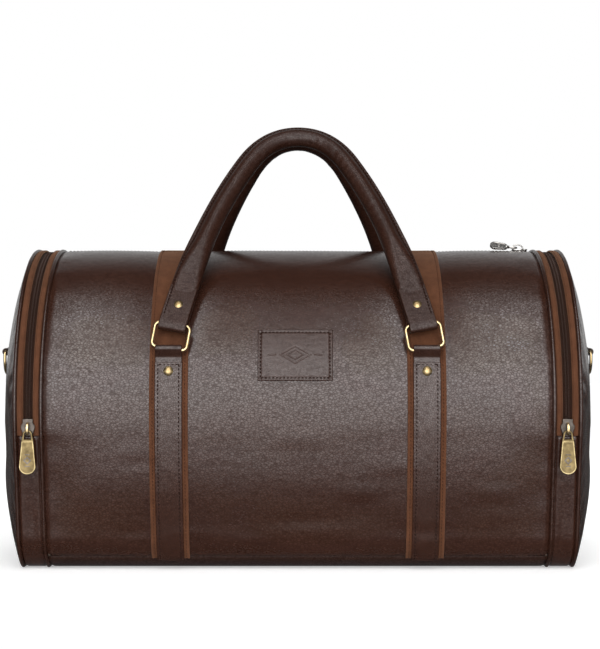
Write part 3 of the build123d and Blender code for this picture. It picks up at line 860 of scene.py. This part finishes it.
low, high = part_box("main_zip_tape")
tapes = Pile()
tape_run = RADIUS * asin(high.y / RADIUS)
for a, b in ((-tape_run, -TAPE_GAP / 2), (TAPE_GAP / 2, tape_run)):
    top = strip_top(low.x, high.x, a, b, TAPE_H, 0.25 * MM)
    tapes.loft(slab(spread(low.x, high.x, 4 * MM), spread(a, b, 1 * MM, 0.4 * MM), top, TAPE_THICK))
tapes.make("main_tape_cloth", *TAPE, ["main_zip_tape"])
low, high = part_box("main_zip_chain")
add_coil("main_coil", *along_x(low.x, high.x, 0.0, 0.0, 900), "main_zip_chain")
for hand in (-1, 1):
    line = along_x(low.x, high.x, hand * (ZIP_EDGE + 3.2 * MM), -0.15 * MM)
    dark_thread.row(*line, *MOUTH_SEWING)

# ---- Bands, straps and patch ----

strap_end_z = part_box("front_right_strap")[1].z - 17.4 * MM
strap_run = run_at(strap_end_z)
STRAP_OVER = 1.2 * MM
FOLD_R = 2.35 * MM


def near_fold(t, end):
    """Return how far the fold inside lifts a strap near its end."""
    return bell(t - end, 16 * MM) * STRAP_OVER


def strap_fold(face, x):
    """Return the strap's fold: up from under it, round the ring's lower bar, and back down."""
    bar = joint_at("front_left_ring_hinge")[1:]

    def resting(drops, heights):
        ts = -face * np.array([run_at(bar[1] - drop * MM) for drop in drops])
        points = turn_rear(on_barrel(np.full(len(drops), x), ts, np.array(heights) * MM), face)
        return [point[1:] for point in points]

    around = [bar + FOLD_R * np.array([cos(a), sin(a)]) for a in np.radians(np.linspace(-20, 185, 18))]
    control = np.array(resting((26, 12), (2.1, 2.1)) + around + resting((8, 13, 18), (3.9, 3.4, 2.9)))
    path = settled(even(control, 70), 3)
    path = np.stack([np.full(len(path), face * x), path[:, 0], path[:, 1]], -1)
    return turn_rear(ribbon(path, STRAP_W - 0.6 * MM, 1.3 * MM, (1, 0, 0)), face)


def on_face(face, low_run, high_run):
    """Return arc lengths in rising order on the front or the rear."""
    return (-high_run, -low_run) if face > 0 else (low_run, high_run)


def add_band(tag, face, x):
    """Add a suede band, with a seam down each edge and one across its top join."""
    x0, x1 = x - BAND_W / 2, x + BAND_W / 2
    t0, t1 = on_face(face, ZIP_EDGE + 1 * MM, seam_run)
    join = -face * (ZIP_EDGE + 17 * MM)
    top = strip_top(x0, x1, t0, t1, BAND_H, EDGE_R, 0.2 * MM, (BAND_INSET,), (join, join - face * 3 * MM))
    band = slab(spread(x0, x1, 1.5 * MM, 0.9 * MM), spread(t0, t1, 2.0 * MM, 0.9 * MM), top, 1.2 * MM)
    loft(f"{tag}_suede_band", band, *SUEDE, [f"{tag}_band"])
    for edge in (x0 + BAND_INSET, x1 - BAND_INSET):
        suede_thread.row(*along_t(edge, t0 + 1 * MM, t1 - 1 * MM, BAND_H - 0.15 * MM), *BAND_SEWING)
    suede_thread.row(*along_x(x0 + 1 * MM, x1 - 1 * MM, join, BAND_H - 0.2 * MM), *BAND_SEWING)


def add_strap(tag, face, x):
    """Add a leather strap, its seams and the fold that holds its ring."""
    x0, x1 = x - STRAP_W / 2, x + STRAP_W / 2
    t0, t1 = on_face(face, strap_run, seam_run)
    end = -strap_run * face
    across = end - face * 1.8 * MM
    flat_top = strip_top(x0, x1, t0, t1, STRAP_H + 0.35 * MM, EDGE_R, 0.35 * MM, (STRAP_INSET,), (across,))

    def top(x, t):
        return flat_top(x, t) + near_fold(t, end) + 0.12 * MM * noise(x / 0.008, t / 0.012, 21)

    strap = slab(spread(x0, x1, 1.5 * MM, 0.9 * MM), spread(t0, t1, 1.8 * MM, 0.9 * MM), top, 1.9 * MM)
    loft(f"{tag}_leather_strap", strap, *STRAP, [f"{tag}_strap"])
    for edge in (x0 + STRAP_INSET, x1 - STRAP_INSET):
        points, normals = along_t(edge, t0 + 1 * MM, t1 - 1 * MM, STRAP_H + 0.2 * MM)
        t = np.linspace(t0 + 1 * MM, t1 - 1 * MM, len(points))
        dark_thread.row(points + normals * near_fold(t, end)[:, None], normals)
    dark_thread.row(*along_x(x0 + STRAP_INSET, x1 - STRAP_INSET, across, STRAP_H + 1.35 * MM))
    loft(f"{tag}_strap_fold", strap_fold(face, x), *FOLD)


for face_name, face in FACES:
    for side_name, side in SIDES:
        add_band(f"{face_name}_{side_name}", face, side * BAND_X)
        add_strap(f"{face_name}_{side_name}", face, side * BAND_X)

patch_low, patch_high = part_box("front_patch")
x0, x1 = patch_low.x, patch_high.x
t0, t1 = -run_at(patch_low.z), -run_at(patch_high.z)
patch_mid = ((x0 + x1) / 2, (t0 + t1) / 2)
inset_x = (x0 + PATCH_INSET, x1 - PATCH_INSET)
inset_t = (t0 + PATCH_INSET, t1 - PATCH_INSET)
patch_base = strip_top(x0, x1, t0, t1, 1.5 * MM, 0.8 * MM, 0.25 * MM, (PATCH_INSET,), inset_t)


def patch_top(x, t):
    """The patch: stitched border, and a plain pressed lozenge between two short bars."""
    u, v = np.abs(x - patch_mid[0]) / (12 * MM), np.abs(t - patch_mid[1]) / (7 * MM)
    lozenge = bell(u + v - 1, 0.09)
    inner = bell(u + v - 0.55, 0.08)
    bars = bell(v, 0.07) * smooth(u, 1.25, 1.35) * (1 - smooth(u, 1.75, 1.85))
    return patch_base(x, t) - 0.45 * MM * np.maximum(np.maximum(lozenge, inner), bars)


patch = slab(spread(x0, x1, 0.35 * MM, 0.9 * MM), spread(t0, t1, 0.35 * MM, 0.9 * MM), patch_top, 1.4 * MM)
loft("label_patch", patch, patch_leather, "bag", "patch_leather", ["front_patch"])
for t in inset_t:
    dark_thread.row(*along_x(*inset_x, t, 1.35 * MM), *PATCH_SEWING)
for x in inset_x:
    dark_thread.row(*along_t(x, *inset_t, 1.35 * MM), *PATCH_SEWING)

suede_thread.make("suede_stitches", tan_thread, "bag", "suede")
dark_thread.make("leather_stitches", brown_thread, "bag", "strap_leather")

# ---- Handles ----

LEAN = radians(34)
LOOP = joint_at("front_handle_hinge")
UPPER_X = BAND_X - 20.2 * MM * sin(radians(9.5))
ROUTE = np.array([(84.0, 72.0), (60.0, 138.0), (26.0, 199.0)]) * MM
X_AXIS, Y_AXIS, Z_AXIS = np.eye(3)
UP, NORMAL = np.array([0, sin(LEAN), cos(LEAN)]), np.array([0, -cos(LEAN), sin(LEAN)])

# The rolled tube: its round part, set inward of the line, and the sewn welt along its outside.
TUBE_R, TUBE_SHIFT = 7.7 * MM, 1.9 * MM
WELT_TOP, WELT_HALF, WELT_SPAN = 9.6 * MM, 1.5 * MM, radians(34)
FOAM_R = 6.3 * MM

# How far from its ends a handle is a flat tab, and where it has become a round tube.
TAB_END, TUBE_START = 36 * MM, 88 * MM


def in_handle(across, rise, out=0.0):
    """Return points in the world from places in the front handle's own leaning plane."""
    return LOOP + across * X_AXIS + rise * UP + out * NORMAL


def handle_line(count=420):
    """Return the handle's centre line, as across and up, evenly spaced, and its arc lengths."""
    lean_in = (UPPER_X - ROUTE[0][0]) / ROUTE[0][1]
    corners = [(UPPER_X - lean_in * 3.4 * MM, 3.4 * MM), *[tuple(p) for p in ROUTE]]
    corners = np.array([(-a, b) for a, b in corners] + corners[::-1])
    middles = (corners[:-1] + corners[1:]) / 2
    points = [corners[0]]
    for before, corner, after in zip(middles[:-1], corners[1:-1], middles[1:]):
        u = np.linspace(0, 1, 60)[:, None]
        points += list((1 - u) ** 2 * before + 2 * u * (1 - u) * corner + u**2 * after)
    points = np.array(points + [corners[-1]])
    return even(points, count), np.linspace(0, lengths(points)[-1], count)


def round_profile(angle):
    """Return the rolled tube's section: a round core and a flat stitched welt on the outside."""
    turn = np.arctan2(np.sin(angle), np.cos(angle))
    p, q = TUBE_R * np.cos(angle) - TUBE_SHIFT, TUBE_R * np.sin(angle)
    u = np.clip(1 - np.abs(turn) / WELT_SPAN, 0, 1)
    neck = TUBE_R * cos(WELT_SPAN) - TUBE_SHIFT
    flare = (1 - u / 0.3) ** 2
    half = np.where(u < 0.3, TUBE_R * sin(WELT_SPAN) * flare + WELT_HALF * (1 - flare), WELT_HALF)
    p_welt = neck + (WELT_TOP - neck) * (1 - (1 - u) ** 1.6)
    q_welt = np.sign(turn) * half * np.sqrt(np.clip(1 - u**6, 0, 1))
    return np.where(u > 0, p_welt, p), np.where(u > 0, q_welt, q)


def flat_profile(angle, half_width, half_thick):
    """Return a flat tab's section with rounded sides."""
    c, s = np.cos(angle), np.sin(angle)
    return half_width * np.sign(c) * np.abs(c) ** 0.45, half_thick * np.sign(s) * np.abs(s) ** 0.75


def handle_profiles(s, from_end):
    """Return the handle's sections: flat tabs that roll into a tube, with folds and creases."""
    welt = np.linspace(-WELT_SPAN, WELT_SPAN, 21)[:-1]
    angle = np.concatenate([welt, np.linspace(WELT_SPAN, 2 * pi - WELT_SPAN, 60)[:-2]])
    rp, rq = round_profile(angle)
    side_of = np.cos(angle)
    tight = smooth(-side_of, -0.5, 0.8)

    def wrinkle(at, pitch, slant, around, seed):
        return noise(np.full(len(angle), at / (pitch * MM)) + slant, around, seed)

    rows = []
    for at, d in zip(s, from_end):
        near = 1 - smooth(d, TAB_END, TUBE_START)
        swell = 1 + 0.12 * bell(d - 62 * MM, 30 * MM)
        thick = 3.0 * MM + 1.5 * MM * smooth(d, 14 * MM, 45 * MM)
        thick = thick * (0.35 + 0.65 * smooth(d, 0.0, 5.5 * MM))
        fp, fq = flat_profile(angle, 11.4 * MM, thick)
        p = rp * swell * (1 - near) + fp * near
        q = rq * swell * (1 - near) + fq * near
        lines = wrinkle(at, 4.2, 0.8 * np.sin(angle), angle * 0.9 + 30, 31)
        wide = wrinkle(at, 14, 0, angle * 0.7 + 12, 32)
        pull = (0.16 * tight + 0.05) * lines + 0.16 * wide
        folds = 0.9 * np.maximum(0, wrinkle(at, 7, 0.9 * np.cos(angle), angle + 3, 33))
        folds = folds * bell(d - 40 * MM, 20 * MM) * tight
        grow = 1 + MM * (pull - folds) * (np.abs(side_of) < 0.93) / np.maximum(np.hypot(p, q), 1 * MM)
        rows.append(np.stack([p * grow, q * grow], -1))
    return np.array(rows)


def handle_fold(hand):
    """Return the strip of a handle that goes round a ring's upper bar and lies along its tab."""
    leg = unit(np.array([hand * (ROUTE[0][0] - UPPER_X), ROUTE[0][1]]))
    leg = leg[0] * X_AXIS + leg[1] * UP
    around = [(5.9 * MM * cos(a), 3.1 * MM * sin(a)) for a in np.radians(np.linspace(84, 276, 26))]
    ends = [(a * MM, b * MM) for a, b in ((36, 2.3), (30, 3.0), (22, 3.25), (14, 3.2), (9, 3.1), (3, 3.1))]
    path = np.array(ends + around + [(a, -b) for a, b in reversed(ends)])
    path = even(settled(path, 2), 110)
    points = LOOP + hand * UPPER_X * X_AXIS + path[:, :1] * leg + path[:, 1:] * NORMAL
    return ribbon(points, 22.5 * MM, 1.5 * MM, np.cross(leg, NORMAL))


line, arc_lengths = handle_line()
from_end = np.minimum(arc_lengths, arc_lengths[-1] - arc_lengths)
tangent = unit(np.gradient(line, axis=0))
outward = np.stack([-tangent[:, 1], tangent[:, 0]], -1)
profiles = handle_profiles(arc_lengths, from_end)
flat = line[:, None] + profiles[..., 0:1] * outward[:, None]
rings = in_handle(flat[..., 0:1], flat[..., 1:2], profiles[..., 1:2])
centre = (line - outward * TUBE_SHIFT)[from_end > TUBE_START]
foam_rings = tube(in_handle(centre[:, 0:1], centre[:, 1:2]), FOAM_R, NORMAL)

# The two rows of sewing lie on the leather, beside the welt or in from the tab's edge.
offset = 7.2 * MM + 1.6 * MM * (1 - smooth(from_end, TAB_END, TUBE_START))
sewn = line + outward * offset[:, None]
sewn_height = []
for row, at, d in zip(profiles, offset, from_end):
    front = row[row[:, 1] > 0]
    front = front[np.argsort(front[:, 0])]
    surface = np.interp(at, front[:, 0], front[:, 1])
    sewn_height.append(max(surface, 4.05 * MM) if d < 28 * MM else surface)
sewn_height = np.array(sewn_height)[:, None]
clear = from_end > 2 * MM

for face_name, face in FACES:
    body = f"{face_name}_handle"
    skin_of = (handle_leather, body, "handle_leather")
    loft(f"{body}_leather", turn_rear(rings, face), *skin_of, [f"{body}_cover"])
    loft(f"{body}_foam", turn_rear(foam_rings, face), foam, body, "handle_core", [f"{body}_core"])
    for side_name, side in SIDES:
        loft(f"{body}_fold_{side_name}", turn_rear(handle_fold(side), face), *skin_of)
    sewing = Pile()
    for hand in (-1, 1):
        points = in_handle(sewn[:, 0:1], sewn[:, 1:2], hand * sewn_height)[clear]
        normals = np.broadcast_to(NORMAL * hand, points.shape)
        sewing.row(turn_rear(points, face), turn_rear(normals, face), *HANDLE_SEWING)
    sewing.make(f"{body}_stitches", brown_thread, body, "handle_leather")

# ---- Sliders and pulls ----


def add_plate(pile, outlines, thickness, bevel, at, axes, lift=0.0):
    """Add a bevelled flat plate to a pile.

    Its sizes are in mm. The outlines after the first are holes. The axes are its own across,
    along and up in the world, and the lift moves it up.
    """
    curve = bpy.data.curves.new("outline", "CURVE")
    curve.dimensions = "2D"
    curve.fill_mode = "BOTH"
    curve.extrude = thickness * MM / 2 - bevel * MM
    curve.bevel_depth = bevel * MM
    curve.bevel_resolution = 2
    curve.offset = -bevel * MM
    for outline in outlines:
        spline = curve.splines.new("POLY")
        spline.points.add(len(outline) - 1)
        for point, (a, b) in zip(spline.points, outline):
            point.co = (a * MM, b * MM, 0, 1)
        spline.use_cyclic_u = True
    holder = bpy.data.objects.new("outline", curve)
    mesh = bpy.data.meshes.new_from_object(holder)
    verts = np.array([v.co for v in mesh.vertices])
    faces = [tuple(f.vertices) for f in mesh.polygons]
    bpy.data.objects.remove(holder)
    bpy.data.curves.remove(curve)
    bpy.data.meshes.remove(mesh)
    u, v, w = axes
    verts = np.asarray(at) + verts[:, :1] * u + verts[:, 1:2] * v + (verts[:, 2:3] + lift * MM) * w
    pile.rows.append((verts, faces))


def arc(centre, radius, start, end, count=14):
    angle = np.radians(np.linspace(start, end, count))
    return [(centre[0] + radius * cos(a), centre[1] + radius * sin(a)) for a in angle]


# Half of a slider's outline from its shoulders down, and its bail seen from the side, in mm.
SLIDER_HALF = [(4.1, 6.5), (4.0, 3.8), (4.5, 2.6), (5.6, 1.2), (5.7, -0.4)]
SLIDER_HALF += [(5.0, -2.4), (4.4, -4.6), (3.6, -6.2), (2.4, -6.5)]
SLIDER = SLIDER_HALF + [(-a, b) for a, b in reversed(SLIDER_HALF)]
BAIL = np.array([(3.4, -0.1), (2.6, 2.4), (0.4, 3.75), (-2.6, 3.95), (-4.9, 3.5), (-5.9, 1.8), (-5.9, -0.2)])


def add_slider(pile, at, v, w):
    """Add a slider's shouldered plate and lower wings, and return its bail over the pull's bar."""
    axes = (np.cross(v, w), v, w)
    add_plate(pile, [SLIDER], 1.3, 0.4, at, axes, 1.15)
    for hand in (-1, 1):
        wing = [(hand * 2.8, 6.0), (hand * 3.5, 6.0), (hand * 3.5, -5.0), (hand * 2.8, -5.0)]
        add_plate(pile, [wing], 2.2, 0.2, at, axes, -0.4)
    path = settled(even(BAIL, 40), 4) * MM
    points = np.asarray(at) + path[:, :1] * v + (path[:, 1:] + 1.8 * MM) * w
    return ribbon(points, 2.3 * MM, 1.0 * MM, axes[0])


def add_badge(pile, y, grow, thickness, at, axes, lift):
    """Add a plain raised badge: a lozenge ring with a bar above and below."""
    lozenges = [[(0, r), (r, 0), (0, -r), (-r, 0)] for r in (2.6, 1.5)]
    bars = [[[(-1.6, b - 0.3), (1.6, b - 0.3), (1.6, b + 0.3), (-1.6, b + 0.3)]] for b in (3.7, -3.7)]
    for outlines in (lozenges, *bars):
        placed = [[(a * grow, b * grow + y) for a, b in outline] for outline in outlines]
        add_plate(pile, placed, thickness, 0.12, at, axes, lift)


def drop(radius, top, half_top, above):
    """Return a drop's outline: a round bottom and straight sides up to a narrower top."""
    return [(-half_top, top)] + arc((0, -27.8), radius, 188, 352, 30) + [(half_top, top)] + above


def add_pull(pile, trim, badge, at, axes):
    """Add a drop pull that hangs from the bar it turns on, its raised rims, and its badges."""
    outer = drop(6.7, -7.2, 4.65, arc((0, -3.1), 3.9, 0, 180))
    window = arc((0, -3.2), 2.35, 0, 180) + [(-2.85, -6.9), (2.85, -6.9)]
    add_plate(pile, [outer, window], 1.5, 0.45, at, axes)
    for hand in (-1, 1):
        rim = [drop(6.55, -8.3, 4.5, []), drop(5.75, -9.0, 3.75, [])]
        add_plate(trim, rim, 0.5, 0.12, at, axes, hand * 0.7)
        add_badge(badge, -23.5, 1.25, 0.7, at, axes, hand * 0.8)


for side_name, side in SIDES:
    bar = joint_at(f"{side_name}_pull_hinge")
    turn = atan2(bar[2] - AXIS, -bar[1]) + 2.7 * MM / RADIUS
    w = np.array([0, -cos(turn), sin(turn)])
    at = np.array([bar[0], 0, AXIS]) + w * RADIUS
    body, slider = Pile(), f"{side_name}_slider"
    bail = add_slider(body, at, np.array([0, sin(turn), cos(turn)]), w)
    body.make(f"{slider}_body", pewter, slider, "dark_metal", [slider])
    loft(f"{slider}_bail", bail, brass, slider, "antique_brass")
    tag, trim, badge, pull = Pile(), Pile(), Pile(), f"{side_name}_pull"
    add_pull(tag, trim, badge, bar, (X_AXIS, Z_AXIS, -Y_AXIS))
    trim.make(f"{pull}_rim", rim_brass, pull, "antique_brass")
    badge.make(f"{pull}_badge", pewter, pull, "dark_metal")
    tag.make(f"{pull}_tag", antique_brass, pull, "antique_brass", [pull])

body = Pile()
slider_low, slider_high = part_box("main_slider")
at = np.array([(slider_low.x + slider_high.x) / 2, 0, AXIS + RADIUS])
body.loft(add_slider(body, at, X_AXIS, Z_AXIS))
body.make("main_slider_body", nickel, "main_slider", "nickel", ["main_slider"])


def oval(top, bottom, radius_top, radius_bottom, counts):
    """Return the outline of an oval round two centres on its own length."""
    upper = arc((0, top), radius_top, 0, 180, counts[0])
    return upper + arc((0, bottom), radius_bottom, 180, 360, counts[1])


# The top zip's pull: an open link on the slider, a neck, and an oval tag turned on its side.
PULL_RISE, PULL_TURN = radians(6), radians(40)
bar = joint_at("main_pull_hinge")
link_v = np.array([cos(PULL_RISE), 0, -sin(PULL_RISE)])
link_w = np.array([sin(PULL_RISE), 0, cos(PULL_RISE)])
tag_u = Y_AXIS * cos(PULL_TURN) + link_w * sin(PULL_TURN)
tag_axes = (tag_u, link_v, np.cross(tag_u, link_v))
tag = Pile()
link = [oval(-2.3, -3.6, 4.3, 4.3, (14, 14)), oval(-2.3, -3.5, 2.8, 2.8, (14, 14))]
add_plate(tag, link, 1.5, 0.5, bar, (Y_AXIS, link_v, link_w))
start = bar - link_v * 7.0 * MM
face_oval = oval(-3.4, -10.2, 3.9, 4.8, (20, 24))
add_plate(tag, [face_oval], 1.6, 0.5, start, tag_axes)
for hand in (-1, 1):
    rim = [face_oval, oval(-3.4, -10.2, 3.0, 3.9, (20, 24))]
    add_plate(tag, rim, 0.6, 0.15, start, tag_axes, hand * 0.75)
    add_badge(tag, -7.2, 0.75, 0.5, start, tag_axes, hand * 0.75)
neck = start + np.linspace(1.6, -1.2, 8)[:, None] * MM * link_v
tag.loft(tube(neck, 1.35 * MM, link_w, 12))
tag.make("main_pull_tag", nickel, "main_pull", "nickel", ["main_pull"])

# ---- Loops of the shoulder-strap rings ----

LOOP_GAP = 0.9 * MM


def dome_out(inset):
    """Return how far out an end is at a distance in from its rim."""
    return DOME_RIM + (DOME_TIP - DOME_RIM) * dome_rise(inset)


for side_name, side in SIDES:
    bar = joint_at(f"{side_name}_d_ring_hinge")
    low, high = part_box(f"{side_name}_ring_loop")
    out = abs(bar[0])
    heights = np.array([high.z - 0.6 * MM, bar[2] + 6.5 * MM, bar[2] - 4.2 * MM])
    upper, lower = (dome_out(AXIS + RADIUS - z) + LOOP_GAP for z in (high.z, bar[2]))
    backs = lower + (upper - lower) * (heights - bar[2]) / (high.z - bar[2])
    turn = np.radians(np.linspace(118, -118, 20))
    around = [(out + 2.6 * MM * cos(a), bar[2] + 2.6 * MM * sin(a)) for a in turn]
    control = np.array([(backs[0], heights[0]), (backs[1], heights[1]), *around, (backs[2], heights[2])])
    path = settled(even(control, 80), 6)
    points = np.stack([side * path[:, 0], 0 * path[:, 0], path[:, 1]], -1)
    strip = ribbon(points, high.y - low.y - 0.4 * MM, 1.5 * MM, Y_AXIS)
    loft(f"{side_name}_loop_leather", strip, *FOLD, [f"{side_name}_ring_loop"])
    sewing = Pile()
    half = (high.y - low.y) / 2 - 2.2 * MM
    lower_end = (side * (backs[1] + 0.7 * MM), bar[2] + 8 * MM)
    upper_end = (side * (backs[0] + 0.8 * MM), high.z - 2.8 * MM)
    ends = (lower_end, upper_end)
    rows = [[(x, k * half, z) for x, z in ends] for k in (-1, 1)]
    rows += [[(x, -half, z), (x, half, z)] for x, z in ends]
    for a, b in rows:
        points = np.linspace(a, b, 30)
        sewing.row(points, np.broadcast_to(side * X_AXIS, points.shape))
    sewing.make(f"{side_name}_loop_stitches", brown_thread, "bag", "strap_leather")

# ---- Stage, light and camera ----

scene = bpy.context.scene
scene.view_settings.view_transform = "Standard"


bpy.ops.mesh.primitive_plane_add(size=14, location=(0, 0, -0.0002))
floor = bpy.context.object
floor.name = "floor"
white, tree, shader, _ = nodes_for("floor_white")
feed(tree, shader, {
    "Base Color": (0.9, 0.9, 0.9, 1),
    "Roughness": 0.9,
    "Emission Color": (1, 1, 1, 1),
    "Emission Strength": 0.35,
})
floor.data.materials.append(white)
floor.visible_glossy = False

# The studio: brightness by the angle up from the front horizon and over the top, and by how far
# to a side a direction points. The camera sees plain white.
LOWEST, HIGHEST = -60.0, 180.0
LOWER = ((-45, 0.02), (-31, 0.08), (-22, 0.28), (-12, 0.58), (0, 0.80), (20, 0.86))
WALL = ((114, 0.01), (128, 0.055), (140, 0.085), (158, 0.10), (180, 0.11))
END_SKY = LOWER + ((36, 0.95), (62, 1.0), (72, 0.75), (84, 0.33), (94, 0.08), (106, 0.01)) + WALL
MID_SKY = LOWER + ((28, 0.72), (37, 0.47), (45, 0.18), (53, 0.05), (62, 0.01), (100, 0.005)) + WALL
BRIGHT = 6.4

world = bpy.data.worlds.new("studio")
scene.world = world
world.use_nodes = True
tree = world.node_tree


def maths(operation, *values):
    node = add_node(tree, "ShaderNodeMath", operation=operation)
    feed(tree, node, dict(enumerate(values)))
    return node.outputs[0]


def aside_ramp(*stops):
    return ramp(tree, aside, [(at, (value,)) for at, value in stops])


direction = add_node(tree, "ShaderNodeTexCoord").outputs["Generated"]
split = add_node(tree, "ShaderNodeSeparateXYZ")
feed(tree, split, {0: direction})
rise = maths("ARCTAN2", split.outputs["Z"], maths("MULTIPLY", split.outputs["Y"], -1.0))
aside = maths("ABSOLUTE", split.outputs["X"])
turned = add_node(tree, "ShaderNodeMapRange", **{"From Min": radians(LOWEST), "From Max": radians(HIGHEST)})
feed(tree, turned, {"Value": rise})
skies = []
for stops in (MID_SKY, END_SKY):
    stops = [((at - LOWEST) / (HIGHEST - LOWEST), (value,)) for at, value in stops]
    skies.append(ramp(tree, turned.outputs["Result"], stops))
outer = aside_ramp((0.07, 0.0), (0.11, 1.0), (0.19, 1.0), (0.27, 0.0))
sides = aside_ramp((0.0, 0.82), (0.2, 1.0), (0.4, 0.8), (0.62, 0.12), (1.0, 0.13))
studio = mixed(tree, 1.0, mixed(tree, outer, *skies), sides, "MULTIPLY")
studio = mixed(tree, 1.0, studio, (BRIGHT,) * 3, "MULTIPLY")
seen = add_node(tree, "ShaderNodeLightPath").outputs["Is Camera Ray"]
feed(tree, tree.nodes["Background"], {"Color": mixed(tree, seen, studio, (1, 1, 1)), "Strength": 1.0})


def softbox(name, place, target, size_x, size_y, watts, shiny=True):
    data = bpy.data.lights.new(name, "AREA")
    data.shape = "RECTANGLE"
    data.size, data.size_y = size_x, size_y
    data.energy = watts
    lamp = bpy.data.objects.new(name, data)
    scene.collection.objects.link(lamp)
    lamp.location = place
    lamp.rotation_euler = (Vector(target) - Vector(place)).to_track_quat("-Z", "Y").to_euler()
    lamp.visible_glossy = shiny


for side_name, side in SIDES:
    softbox(f"{side_name}_panel", (side * 0.65, -0.72, 1.2), (side * 0.2, -0.1, 0.15), 0.8, 0.6, 0.5)
softbox("rear_fill", (0.3, 1.5, 0.8), (0, 0, 0.15), 1.2, 0.8, 9.0, False)

camera_data = bpy.data.cameras.new("camera")
camera_data.lens = 90
camera_data.sensor_width = 36
camera = bpy.data.objects.new("camera", camera_data)
scene.collection.objects.link(camera)
camera.location = (0.0018, -1.422, 0.180)
camera.rotation_euler = (radians(90 + 0.84), 0, 0)
scene.camera = camera
